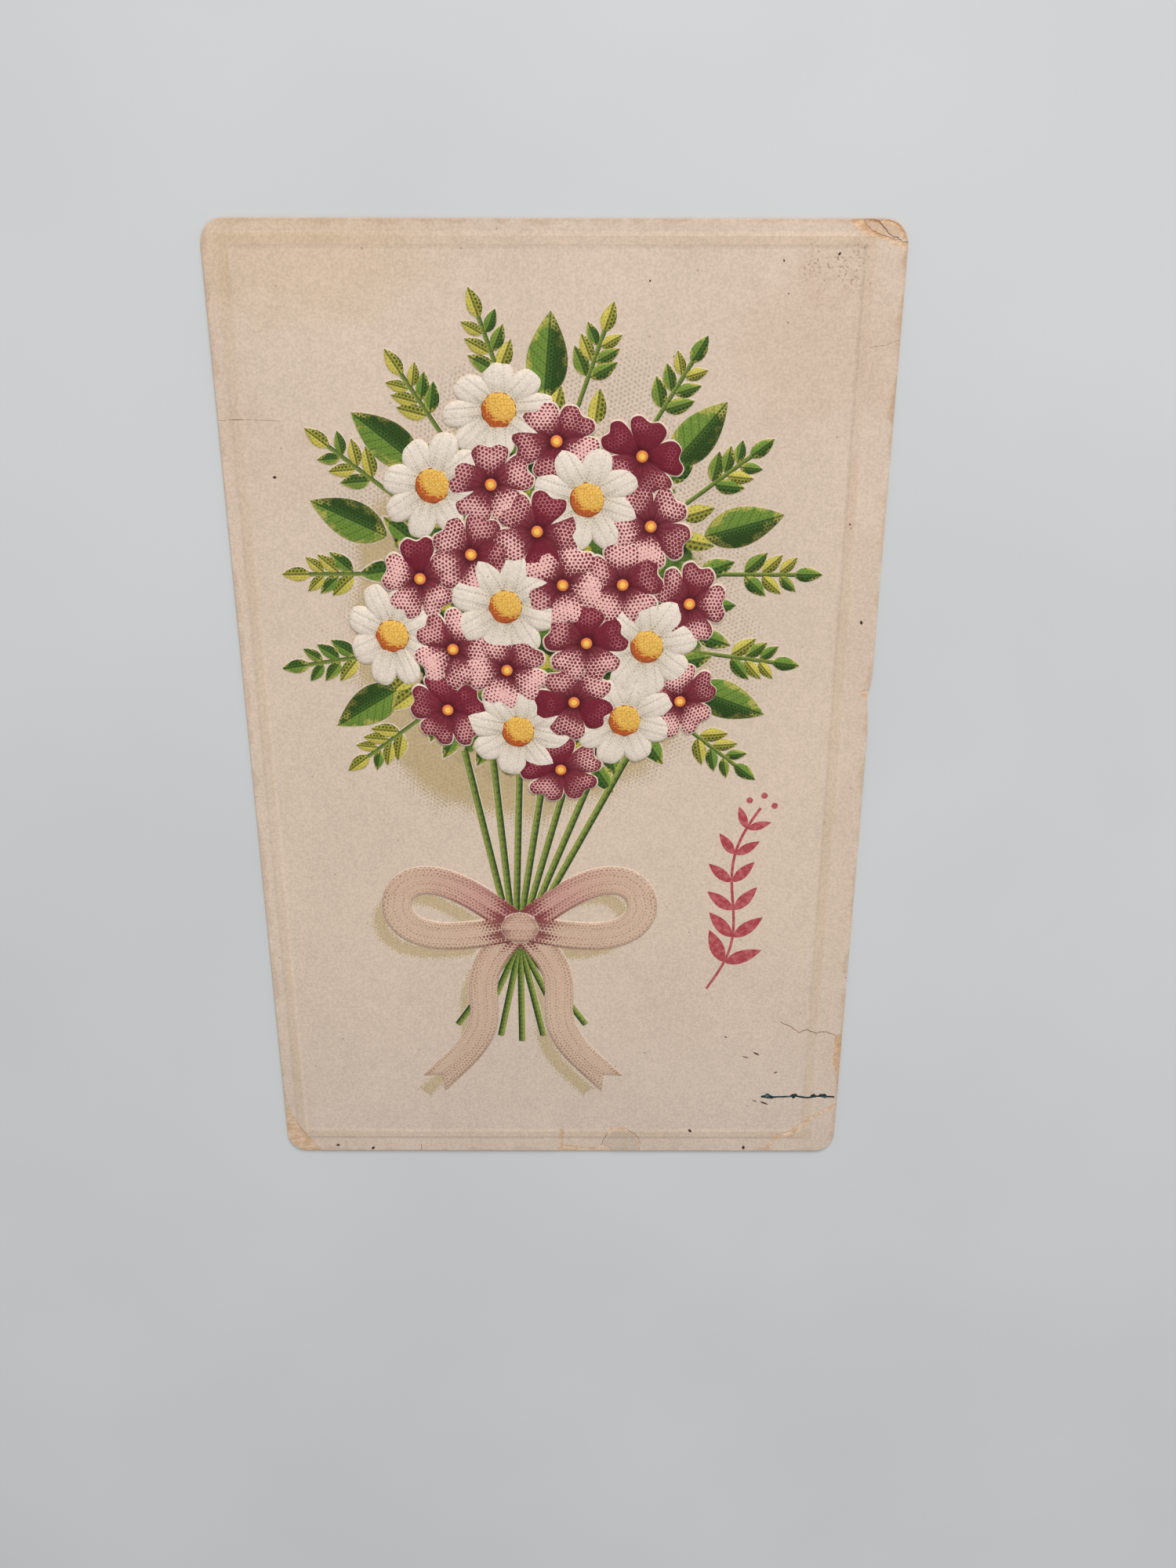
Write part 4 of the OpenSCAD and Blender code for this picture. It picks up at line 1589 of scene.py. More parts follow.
@dataclass
class PosyHead:
    """Head of flowers on a low swelling."""

    head: HeadOval = HeadOval()
    count: int = 25
    turn: float = 45.0
    white_seats: tuple[int, ...] = (1, 8, 10, 12, 15, 19, 22, 24)
    swell: float = 0.34
    rim_turn: float = 0.2
    edge: float = 0.1
    step: float = 0.012
    golden: float = 137.508
    bed_outset: float = 1.2
    petals: int = 5
    petal_l: float = 6.0
    petal_w: float = 5.6
    petal_middle: float = 0.6
    petal_line: tuple[Point, ...] = (
        (0.04, 0.0), (0.42, -0.36), (0.8, -0.49), (0.985, -0.27), (0.9, 0.0), (0.985, 0.27),
        (0.8, 0.49), (0.42, 0.36))
    petal_rings: tuple[Ring, ...] = (
        (1.07, -0.5), (1.07, -0.1), (1.03, -0.03), (1.0, 0.02), (0.93, 0.085), (0.81, 0.155),
        (0.64, 0.215), (0.44, 0.255), (0.2, 0.277))
    rays: int = 8
    ray_l: float = 7.4
    ray_w: float = 4.2
    ray_middle: float = 0.62
    ray_line: tuple[Point, ...] = (
        (0.16, 0.0), (0.3, -0.27), (0.68, -0.5), (0.94, -0.34), (1.0, 0.0), (0.94, 0.34),
        (0.68, 0.5), (0.3, 0.27))
    ray_rings: tuple[Ring, ...] = (
        (1.09, -0.5), (1.09, -0.1), (1.04, -0.03), (1.0, 0.02), (0.92, 0.085), (0.78, 0.15),
        (0.58, 0.2), (0.34, 0.23), (0.12, 0.24))
    back_rings: tuple[Ring, ...] = (
        (0.98, -0.5), (0.98, -0.06), (0.86, 0.08), (0.6, 0.18), (0.25, 0.24))
    button: float = 2.3
    button_rings: tuple[Ring, ...] = (
        (1.06, -0.4), (1.06, 0.14), (1.0, 0.22), (0.9, 0.3), (0.72, 0.365), (0.5, 0.4),
        (0.25, 0.418))
    throat: float = 0.8
    throat_rings: tuple[Ring, ...] = (
        (1.1, -0.4), (1.1, 0.16), (1.0, 0.22), (0.75, 0.27), (0.4, 0.295))
    bed_scales: tuple[float, ...] = (0.94, 0.82, 0.66, 0.48, 0.3, 0.12)
    seed: int = 11
    dies: dict[str, Piece] = field(default_factory=dict)

    def model(self) -> None:
        """Model each repeated shape once."""
        origin = (0.0, 0.0)
        petal = rounded([(x * self.petal_l, y * self.petal_w) for x, y in self.petal_line], 32)
        ray = rounded([(x * self.ray_l, y * self.ray_w) for x, y in self.ray_line], 28)
        petal_middle = (self.petal_middle * self.petal_l, 0.0)
        ray_middle = (self.ray_middle * self.ray_l, 0.0)
        bed_rings = [(1.0, -0.2), (1.0, -0.01)]
        bed_rings += [(s, 0.005 + self.swell * (1 - s * s)) for s in self.bed_scales]
        for name, outline, middle, rings in (
                ("petal", petal, petal_middle, self.petal_rings),
                ("petal_back", petal[::2], petal_middle, self.back_rings),
                ("ray", ray, ray_middle, self.ray_rings),
                ("ray_back", ray[::2], ray_middle, self.back_rings),
                ("button", oval(self.button, self.button, 24), origin, self.button_rings),
                ("throat", oval(self.throat, self.throat, 14), origin, self.throat_rings),
                ("bed", oval(1.0, 1.0, 48), origin, bed_rings)):
            self.dies[name] = Bench.lobe(name, outline, middle, rings)

    def seat(self, k: int) -> tuple[float, float, float, float]:
        """Give a flower's seat on the golden spiral.

        Args:
            k: The seat's number, from the middle out.

        Returns:
            Its place to the right and upwards, its share of the radius and its direction.
        """
        share = math.sqrt((k + 0.5) / self.count)
        way = k * self.golden + self.turn
        return (*self.head.spot(way, share), share, way)

    def build(self, press: Press) -> None:
        """Lay the bed and the flowers in the press.

        Args:
            press: The press.
        """
        self.model()
        face = press.sizes.stock
        rng = random.Random(self.seed)
        bed = at(*self.head.centre, face) @ grown(self.head.half_w + self.bed_outset,
                                                  self.head.half_h + self.bed_outset)
        press.strike(self.dies["bed"], bed, Ink.BED, hollow=self.dies["bed"])
        for k in range(self.count):
            x, y, share, way = self.seat(k)
            base = face + self.swell * (1 - share * share) + self.edge
            stand = (at(x, y, base, way) @ grown(1 - self.rim_turn * share * share, 1)
                     @ at(0, 0, 0, way * 0.4))
            white = k in self.white_seats
            tone = rng.uniform(0.12, 0.8)
            around = self.rays if white else self.petals
            for i in range(around):
                place = (stand @ at(0, 0, self.step * i, i * 360 / around)
                         @ grown(rng.uniform(0.95, 1.0), rng.uniform(0.94, 1.0)))
                if white:
                    press.strike(self.dies["ray"], place, Ink.WHITE, hollow=self.dies["ray_back"])
                else:
                    own = min(1.0, max(0.0, tone + rng.uniform(-0.3, 0.3)))
                    press.strike(self.dies["petal"], place, Ink.MAUVE, own,
                                 hollow=self.dies["petal_back"])
            if white:
                press.strike(self.dies["button"], at(x, y, base), Ink.BUTTON)
            else:
                press.strike(self.dies["throat"], at(x, y, base), Ink.THROAT)
        Bench.scrap(*self.dies.values())
        LOG.info("posy head: %d flowers laid", self.count)


@dataclass
class Foliage:
    """Sprigs and broad leaves round the head."""

    head: HeadOval = HeadOval()
    sprigs: int = 12
    start: float = -38.0
    sweep: float = 256.0
    sprig_l: float = 14.5
    hidden: float = 4.5
    outset: float = 1.0
    pairs: int = 3
    leaflet_l: float = 3.9
    leaflet_w: float = 2.0
    leaflet_turn: float = 42.0
    leaflet_rings: tuple[Ring, ...] = (
        (1.16, -0.3), (1.16, -0.01), (1.0, 0.05), (0.84, 0.12), (0.6, 0.18), (0.25, 0.215))
    leaves: int = 7
    leaf_l: float = 11.0
    leaf_w: float = 5.4
    leaf_rings: tuple[Ring, ...] = (
        (1.07, -0.3), (1.07, -0.01), (1.0, 0.05), (0.9, 0.1), (0.74, 0.15), (0.5, 0.19),
        (0.22, 0.215))
    middle: float = 0.46
    lean: float = 5.0
    stalk_half: float = 0.3
    stalk_profile: tuple[Ring, ...] = (
        (-0.42, -0.01), (-0.24, 0.07), (0.0, 0.13), (0.24, 0.07), (0.42, -0.01))
    fillers: int = 34
    pair_tones: tuple[float, ...] = (0.1, 0.5, 0.7, 0.95)
    tip_tones: tuple[float, ...] = (0.3, 0.9)
    filler_tones: tuple[float, ...] = (0.0, 0.2, 0.3, 0.8)
    seed: int = 5

    @staticmethod
    def outline(length: float, width: float, count: int) -> list[Point]:
        """Draw a pointed leaf.

        Args:
            length: Its length.
            width: Its width.
            count: Points of the outline.

        Returns:
            The outline.
        """
        points = []
        for k in range(count):
            a = math.tau * k / count
            share = 0.5 + 0.5 * math.cos(a)
            half = 0.0
            if 0 < share < 1:
                half = 0.5 * width * math.sin(math.pi * share ** 0.8) ** 0.85
            across = math.copysign(half, math.sin(a)) if abs(math.sin(a)) > 1e-9 else 0.0
            points.append((length * share, across))
        return points

    def build(self, press: Press) -> None:
        """Lay the sprigs, the leaves and the fillers in the press.

        Args:
            press: The press.
        """
        rng = random.Random(self.seed)
        l, w = self.leaflet_l, self.leaflet_w
        leaflet = Bench.lobe("leaflet", self.outline(l, w, 18), (self.middle * l, 0.0),
                             self.leaflet_rings)
        l, w = self.leaf_l, self.leaf_w
        leaf = Bench.lobe("leaf", self.outline(l, w, 36), (self.middle * l, 0.0), self.leaf_rings)
        stalk = Bench.strip("stalk", [(-self.hidden, 0), (self.sprig_l - self.leaflet_l, 0)],
                            self.stalk_profile, 8, 0.25, self.stalk_half)
        self.lay_sprigs(press, rng, stalk, leaflet)
        self.lay_leaves(press, rng, leaf)
        self.lay_fillers(press, rng, leaflet)
        Bench.scrap(leaflet, leaf, stalk)
        LOG.info("foliage: %d sprigs and %d leaves laid", self.sprigs, self.leaves)

    def lay_sprigs(self, press: Press, rng: random.Random, stalk: Piece, leaflet: Piece) -> None:
        """Lay the sprigs, each a stalk with pairs of leaflets.

        Args:
            press: The press.
            rng: The random numbers.
            stalk: The stalk's die.
            leaflet: The leaflet's die.
        """
        for i in range(self.sprigs):
            a = self.start + self.sweep * i / (self.sprigs - 1)
            bare = self.sprig_l * (1 - 0.12 * (i % 2)) - self.leaflet_l
            foot = at(*self.head.spot(a, outset=self.outset), press.sizes.stock,
                      a + 9 * math.sin(math.radians(i * 130)))
            reach = bare / (self.sprig_l - self.leaflet_l)
            press.strike(stalk, foot @ grown(reach, 1), Ink.STEM)
            for j in range(1, self.pairs + 1):
                grow = 1.15 - 0.12 * j
                along = bare * (0.25 + 0.68 * j / self.pairs) - 1.5
                for s in (-1, 1):
                    place = foot @ at(along, s * 0.3, 0.004 * j + 0.002 * s, s * self.leaflet_turn)
                    press.strike(leaflet, place @ grown(grow, grow), Ink.SPRIG,
                                 rng.choice(self.pair_tones), hollow=leaflet)
            press.strike(leaflet, foot @ at(bare - 0.3, 0, 0.001), Ink.SPRIG,
                         rng.choice(self.tip_tones), hollow=leaflet)

    def lay_leaves(self, press: Press, rng: random.Random, leaf: Piece) -> None:
        """Lay the broad leaves between the sprigs.

        Args:
            press: The press.
            rng: The random numbers.
            leaf: The leaf's die.
        """
        for i in range(self.leaves):
            gap = math.floor((self.sprigs - 1) * (i + 0.5) / self.leaves) + 0.5
            a = self.start + self.sweep * gap / (self.sprigs - 1)
            place = at(*self.head.spot(a), press.sizes.stock - 0.006,
                       a + self.lean * (1 - 2 * (i % 2)))
            press.strike(leaf, place, Ink.LEAF, rng.uniform(0.0, 0.5), hollow=leaf)

    def lay_fillers(self, press: Press, rng: random.Random, leaflet: Piece) -> None:
        """Fill the gaps at the rim of the head with low leaflets.

        Args:
            press: The press.
            rng: The random numbers.
            leaflet: The leaflet's die.
        """
        for i in range(self.fillers):
            a = 360 * (i + rng.uniform(-0.3, 0.3)) / self.fillers
            share = rng.uniform(0.8, 0.94)
            place = at(*self.head.spot(a, share), press.sizes.stock + 0.02 + 0.0011 * i,
                       a + rng.uniform(-40, 40))
            grow = rng.uniform(1.15, 1.5)
            press.strike(leaflet, place @ grown(grow, grow, 0.5), Ink.SPRIG,
                         rng.choice(self.filler_tones))


@dataclass
class Stems:
    """Bunched stems through the tie."""

    count: int = 7
    width: float = 1.0
    profile: tuple[Ring, ...] = (
        (-1.3, -0.01), (-1.0, 0.06), (-0.5, 0.16), (0.0, 0.195), (0.5, 0.16), (1.0, 0.06),
        (1.3, -0.01))
    unit: float = 10.0
    top: Point = (-1.5, -6.0)
    tie: Point = TIE
    spread_top: float = 24.0
    spread_end: float = 20.0
    end: float = 20.0
    end_rise: float = 0.62
    inside: float = 5.5
    pinch: float = 1.68
    step: float = 0.0007

    def build(self, press: Press) -> None:
        """Lay the stems in the press.

        Args:
            press: The press.
        """
        half = self.width / 2
        stem = Bench.strip("stem", [(0, 0), (self.unit, 0)],
                           [(x * half, z) for x, z in self.profile], 8, 0.3, half)
        mid = (self.count - 1) / 2
        for i in range(self.count):
            u = (i - mid) / mid
            tie = Vector((self.tie[0] + u * self.pinch, self.tie[1]))
            up = Vector((self.top[0] + u * self.spread_top / 2, self.top[1] + self.inside))
            down = Vector((self.tie[0] - u * self.spread_end / 2,
                           self.tie[1] - self.end * (1 - 0.15 * abs(u))))
            for k, (goal, rise) in enumerate(((up, 1.0), (down, self.end_rise))):
                way = goal - tie
                place = at(tie.x, tie.y, press.sizes.stock + self.step * (2 * i + k),
                           math.degrees(math.atan2(way.y, way.x)))
                press.strike(stem, place @ grown(way.length / self.unit, 1, rise), Ink.STEM,
                             hollow=stem)
        Bench.scrap(stem)
        LOG.info("stems: %d laid", self.count)


@dataclass
class RibbonBow:
    """Bow of flat ribbon with its printed shade."""

    tie: Point = TIE
    width: float = 4.4
    rise: float = 0.26
    loop_l: float = 19.0
    loop_w: float = 9.0
    slope: float = 14.0
    tail_l: float = 28.0
    swing: float = 13.0
    notch: float = 2.2
    steps: int = 32
    rows: int = 40
    depth: float = 0.3
    upper: Point = (0.02, 0.52)
    lower: Point = (0.98, 0.47)
    knot_w: float = 5.6
    knot_h: float = 5.0
    knot_print: float = 7.5
    knot_rings: tuple[Ring, ...] = (
        (1.08, -0.3), (1.08, 0.2), (1.0, 0.27), (0.86, 0.33), (0.66, 0.375), (0.4, 0.4),
        (0.15, 0.415))
    shade_way: Point = (-2.6, -2.8)
    shade_profile: tuple[float, ...] = (-1.0, -0.7, -0.3, 0.3, 0.7, 1.0)
    film_level: float = 0.002
    film_step: float = 0.001
    nudge: float = 0.003

    def loop(self, start: float, end: float) -> list[Point]:
        """Draw part of the right loop's middle line.

        Args:
            start: Where it starts, as a share of the loop.
            end: Where it ends.

        Returns:
            The line's points.
        """
        c, s = math.cos(math.radians(self.slope)), math.sin(math.radians(self.slope))
        points = []
        for k in range(self.steps + 1):
            t = start + (end - start) * k / self.steps
            x, y = self.loop_l * math.sin(math.pi * t), self.loop_w / 2 * math.sin(math.tau * t)
            points.append((x * c - y * s, x * s + y * c))
        return points

    def tail(self) -> list[Point]:
        """Draw the right tail's middle line from the knot down.

        Returns:
            The line's points.
        """
        points = []
        for k in range(self.steps + 1):
            wave = 2 * math.sin(math.radians(400 * k / self.steps))
            points.append((self.swing * k / self.steps + wave, -self.tail_l * k / self.steps))
        return points

    def profile(self, rise: float) -> list[Ring]:
        """Give the ribbon's cross profile.

        Args:
            rise: Its height over the face.

        Returns:
            Place across and height of each column.
        """
        half = self.width / 2
        right = [(0.0, rise * 0.9), (0.4, rise * 0.93), (0.75, rise), (0.93, rise * 0.92),
                 (1.0, rise * 0.55), (1.05, 0.03), (1.1, -0.01)]
        left = [(-x, z) for x, z in reversed(right[1:])]
        return [(x * half, z) for x, z in left + right]

    def build(self, press: Press) -> None:
        """Lay the bow and its shade in the press.

        Args:
            press: The press.
        """
        face = press.sizes.stock
        half = self.width / 2
        film = [(x * half, 0.0) for x in self.shade_profile]
        dies, shades = [], []
        for name, path, rise, cut in (("loop_upper", self.loop(*self.upper), 0.9, 0.0),
                                      ("loop_lower", self.loop(*self.lower), 1.0, 0.0),
                                      ("tail", self.tail(), 0.8, self.notch)):
            dies.append(Bench.strip(name, path, self.profile(self.rise * rise), self.rows,
                                    self.depth, half, cut))
            shades.append(Bench.strip("shade", path, film, self.rows, FILM_DEPTH, half, cut))
        upper, lower, tail = dies
        level = self.film_level
        for mirror, nudge in ((1, self.nudge), (-1, 0.0)):
            flip = grown(mirror, 1)
            for shade in shades:
                level += self.film_step
                place = at(self.tie[0] + self.shade_way[0], self.tie[1] + self.shade_way[1],
                           face + level)
                press.strike(shade, place @ flip, Ink.SHADE, side=Side.FILM)
            for die, lift, tone in ((tail, 0.0, 0.15), (upper, 0.001, 0.85), (lower, 0.002, 0.1)):
                press.strike(die, at(*self.tie, face + lift + nudge) @ flip, Ink.RIBBON, tone,
                             hollow=die)
        knot = Bench.lobe("knot", oval(self.knot_w / 2, self.knot_h / 2, 28), (0.0, 0.0),
                          self.knot_rings)
        for entry in knot.data.uv_layers[PRINT_MAP].data:
            entry.uv = (entry.uv[0] + self.knot_print, entry.uv[1])
        press.strike(knot, at(*self.tie, face), Ink.RIBBON, 0.35, hollow=knot)
        Bench.scrap(knot, *dies, *shades)
        LOG.info("ribbon bow: laid")


@dataclass
class RoseSpray:
    """Small spray of leaves drawn in rose ink beside the bow."""

    centre: Point = (26.2, -24.5)
    lean: float = -13.0
    length: float = 31.0
    sway: float = 1.7
    width: float = 0.42
    rows: int = 60
    leaf_l: float = 5.9
    leaf_w: float = 2.2
    leaf_middle: float = 0.46
    leaf_rings: tuple[Ring, ...] = (
        (1.0, -FILM_DEPTH), (1.0, 0.0), (0.62, 0.0004), (0.3, 0.0008))
    pairs: int = 6
    spread: float = 46.0
    berry: float = 0.48
    berry_rings: tuple[Ring, ...] = ((1.0, -FILM_DEPTH), (1.0, 0.0), (0.5, 0.0004))
    berries: tuple[Point, ...] = ((0.0, 2.0), (-1.9, 0.8), (1.9, 0.8))
    stem_level: float = 0.0095
    leaf_level: float = 0.0105
    film_step: float = 0.0003

    def spine(self, t: float) -> Point:
        """Give a point of the stem, from its foot at 0 to its tip at 1."""
        return (self.sway * math.sin(math.tau * t), self.length * (t - 0.5))

    def build(self, press: Press) -> None:
        """Lay the stem, its leaves and its berries in the press.

        Args:
            press: The press.
        """
        half = self.width / 2
        stand = at(*self.centre, press.sizes.stock, self.lean)
        line = Bench.strip("spray_stem", [self.spine(k / self.rows) for k in range(self.rows + 1)],
                           flat_profile(half), self.rows, FILM_DEPTH, half)
        press.strike(line, stand @ at(0, 0, self.stem_level), Ink.ROSE, side=Side.FILM)
        leaf = Bench.lobe("spray_leaf", Foliage.outline(self.leaf_l, self.leaf_w, 20),
                          (self.leaf_middle * self.leaf_l, 0.0), self.leaf_rings)
        berry = Bench.lobe("berry", oval(self.berry, self.berry, 14), (0.0, 0.0), self.berry_rings)
        level = self.leaf_level
        for j in range(self.pairs):
            t = 0.16 + 0.72 * j / (self.pairs - 1)
            x, y = self.spine(t)
            ahead = Vector(self.spine(t + 0.01)) - Vector((x, y))
            way = math.degrees(math.atan2(ahead.y, ahead.x))
            size = 1.0 - 0.08 * j
            for s in (-1, 1):
                level += self.film_step
                place = stand @ at(x, y, level, way + s * self.spread) @ at(0.25, 0, 0)
                press.strike(leaf, place @ grown(size, size), Ink.ROSE, side=Side.FILM)
        for x, y in self.berries:
            level += self.film_step
            place = stand @ at(x, y + self.length / 2, level)
            press.strike(berry, place, Ink.ROSE, side=Side.FILM)
        Bench.scrap(line, leaf, berry)
        LOG.info("rose spray: laid")


@dataclass
class Wear:
    """Cracks, flakes, pen stroke and specks of an old card."""

    crack_depth: float = 0.05
    crack_over: float = 0.3
    crack_step: float = 0.0003
    flake_depth: float = 0.07
    flake_over: float = 0.8
    flake_step: float = 0.002
    notch_over: float = 1.0
    cracks: tuple[tuple[Ink, float, float, tuple[Point, ...]], ...] = (
        (Ink.CRACK, 0.3, 0.0, ((38.1, 70.2), (39.0, 69.85), (40.0, 69.65), (40.8, 69.45))),
        (Ink.CRACK, 0.12, 1.0, ((40.6, 69.5), (41.3, 68.8), (42.1, 68.05), (42.7, 67.75),
                                (43.5, 67.4))),
        (Ink.CORE, 0.34, 0.3, ((40.7, 69.6), (41.8, 69.55), (42.7, 69.2), (43.5, 68.5),
                               (43.9, 67.5))),
        (Ink.CORE, 0.52, 0.2, ((33.0, -70.3), (33.6, -69.3), (34.3, -68.2), (35.2, -66.9),
                               (36.8, -66.3), (38.1, -65.5), (39.5, -64.3), (41.0, -63.0),
                               (44.9, -60.6))),
        (Ink.CRACK, 0.1, 0.4, ((36.1, -66.6), (37.2, -66.1), (38.2, -65.4), (39.4, -64.2),
                               (40.6, -63.3))),
        (Ink.CORE, 0.3, 0.1, ((37.3, -67.1), (37.9, -66.4), (38.6, -65.3))),
        (Ink.CRACK, 0.13, 0.8, ((34.6, -45.6), (36.4, -46.5), (37.5, -47.5), (38.7, -46.9),
                                (40.3, -47.6), (41.9, -47.3), (43.5, -48.1))),
        (Ink.CORE, 0.56, 0.6, ((0.1, -65.6), (0.0, -67.4), (0.1, -69.3), (0.0, -70.3))),
        (Ink.CRACK, 0.1, 0.5, ((6.5, -69.0), (7.0, -67.6), (7.6, -66.4))),
        (Ink.CORE, 0.36, 0.0, ((7.5, -66.4), (8.3, -65.6), (9.4, -65.4), (10.8, -65.7))),
        (Ink.CRACK, 0.1, 0.3, ((10.8, -65.7), (11.9, -66.4), (12.7, -67.6), (12.9, -68.4))),
        (Ink.CORE, 0.3, 0.5, ((12.8, -68.2), (12.7, -69.2), (12.9, -70.3))),
        (Ink.FACE, 0.12, 0.0, ((-44.8, 45.4), (-40.3, 45.5), (-36.3, 45.3))),
        (Ink.CRACK, 0.1, 0.5, ((-22.8, -68.6), (-22.9, -70.3))),
        (Ink.FACE, 0.12, 0.0, ((40.6, 54.6), (41.8, 54.8), (43.2, 55.1), (44.9, 55.7))),
    )
    flakes: tuple[tuple[float, tuple[Point, ...]], ...] = (
        (0.3, ((38.4, 70.6), (37.0, 70.6), (37.0, 69.6), (37.7, 69.0), (38.6, 68.4), (39.5, 68.0),
               (41.0, 67.6), (42.4, 67.0), (43.4, 66.7), (45.0, 66.2), (45.0, 67.2), (43.6, 67.3),
               (42.4, 67.65), (41.2, 68.0), (39.9, 68.5), (39.0, 69.3))),
        (0.55, ((-46.0, -71.0), (-39.2, -71.0), (-39.3, -69.7), (-40.3, -68.2), (-41.3, -66.7),
                (-42.3, -65.1), (-43.2, -63.4), (-43.9, -61.8), (-46.0, -61.0))),
        (0.85, ((46.0, -47.7), (43.7, -47.9), (43.3, -48.4), (43.25, -51.0), (43.3, -53.5),
                (43.7, -54.1), (44.15, -54.8), (44.3, -58.3), (46.0, -58.4))),
        (0.12, ((-1.1, -71.0), (8.6, -71.0), (8.3, -69.6), (7.7, -69.0), (6.9, -68.7), (6.0, -69.1),
                (4.6, -69.3), (3.0, -69.1), (1.5, -68.8), (0.4, -68.7), (-0.8, -69.5))),
        (0.5, ((46.0, 9.2), (43.5, 8.7), (43.1, 8.5), (43.15, 7.9), (43.6, 7.6), (46.0, 6.4))),
    )
    notches: tuple[tuple[Point, ...], ...] = (
        ((0.0, 2.4), (0.14, 4.0), (0.3, 5.4), (0.4, 6.8), (0.45, 8.1), (0.36, 8.7), (0.12, 9.4),
         (0.0, 10.3)),
        ((0.0, -1.5), (0.14, -0.8), (0.0, -0.1)),
        ((0.0, -40.1), (0.16, -39.2), (0.0, -38.3)))
    stroke: tuple[Point, ...] = (
        (32.2, -59.4), (34.0, -59.45), (35.6, -59.42), (37.2, -59.3), (38.0, -59.28),
        (38.6, -59.44), (39.6, -59.5), (40.6, -59.36), (41.5, -59.3), (42.4, -59.36),
        (43.1, -59.35), (44.0, -59.45))
    pen_half: float = 0.15
    pen_rows: int = 72
    pen_level: float = 0.0145
    blobs: tuple[tuple[float, float, float, float, float], ...] = (
        (33.1, -59.35, 0.95, 0.3, 2), (33.25, -59.25, 0.42, 0.52, 20),
        (33.7, -59.5, 0.6, 0.26, -12), (37.45, -59.15, 0.6, 0.32, 12),
        (37.5, -59.3, 0.3, 0.48, -20), (40.55, -59.2, 0.45, 0.34, 15),
        (41.95, -59.15, 0.5, 0.3, -8), (42.4, -59.25, 0.36, 0.44, 15))
    blob_level: float = 0.0152
    blob_step: float = 0.0004
    dashes: tuple[tuple[float, float, float, float, float, float], ...] = (
        (32.75, -60.6, 0.75, 0.17, -24, 0.3), (31.2, -60.2, 0.42, 0.1, -22, 0.9),
        (31.05, -51.35, 0.6, 0.17, -30, 0.4), (29.4, -52.0, 0.6, 0.1, -14, 0.6),
        (34.3, -54.85, 0.34, 0.14, 22, 0.7), (26.1, -48.3, 0.3, 0.1, -38, 0.5))
    dash_level: float = 0.0155
    specks: tuple[tuple[float, float, float], ...] = (
        (-36.4, -68.8, 0.28), (-30.7, -69.35, 0.3), (29.8, -69.2, 0.33), (20.95, -65.9, 0.3),
        (-37.6, 38.1, 0.24), (35.9, 65.8, 0.2), (42.3, 18.4, 0.26), (39.7, 32.0, 0.14),
        (15.5, 53.5, 0.22), (12.1, 62.6, 0.14), (28.95, 65.0, 0.15), (29.75, 61.1, 0.1))
    speck_level: float = 0.017
    speck_turn: float = 47.0
    speck_rings: tuple[Ring, ...] = ((1.0, -FILM_DEPTH), (1.0, 0.0), (0.5, 0.0005))
    speck_step: float = 0.0003

    def patch(self, outline: Sequence[Point], low: float, high: float) -> Piece:
        """Model a plate of an irregular outline.

        Args:
            outline: The outline, anticlockwise.
            low: Its underside.
            high: Its top.

        Returns:
            The closed plate.
        """
        count = len(outline)
        middle = (sum(p[0] for p in outline) / count, sum(p[1] for p in outline) / count)
        return Bench.lobe("patch", outline, middle, [(1.0, low), (1.0, high)])

    def build(self, press: Press) -> None:
        """Lay the wear in the press.

        Args:
            press: The press.
        """
        self.lay_breaks(press)
        self.lay_marks(press)
        LOG.info("wear: %d cracks, %d flakes, %d specks laid", len(self.cracks), len(self.flakes),
                 len(self.specks) + len(self.dashes))

    def lay_breaks(self, press: Press) -> None:
        """Cut the cracks, the worn edge and the flaked places.

        Args:
            press: The press.
        """
        face = press.sizes.stock
        for k, (ink, width, tone, corners) in enumerate(self.cracks):
            path = ragged(corners, 3, 0.1, 20 + k, False)
            half = width / 2
            crack = Bench.strip("crack", path, [(-half, self.crack_over), (half, self.crack_over)],
                                3 * len(path), self.crack_over + self.crack_depth, half)
            press.strike(crack, at(0, 0, face + self.crack_step * k), ink, tone, Side.CUT)
            Bench.scrap(crack)
        side = press.sizes.width / 2
        for bites in self.notches:
            outside = side + self.notch_over
            outline = [(outside, bites[0][1]), (outside, bites[-1][1])]
            outline += [(side - depth, y) for depth, y in reversed(bites)]
            bite = self.patch(outline, -self.notch_over, face + self.notch_over)
            press.strike(bite, Matrix.Identity(4), Ink.EDGE, side=Side.CUT)
            Bench.scrap(bite)
        for k, (tone, corners) in enumerate(self.flakes):
            flake = self.patch(ragged(corners, 4, 0.12, 40 + k, True),
                               face - self.flake_depth - self.flake_step * k,
                               face + self.flake_over)
            press.strike(flake, Matrix.Identity(4), Ink.CORE, tone, Side.CUT)
            Bench.scrap(flake)

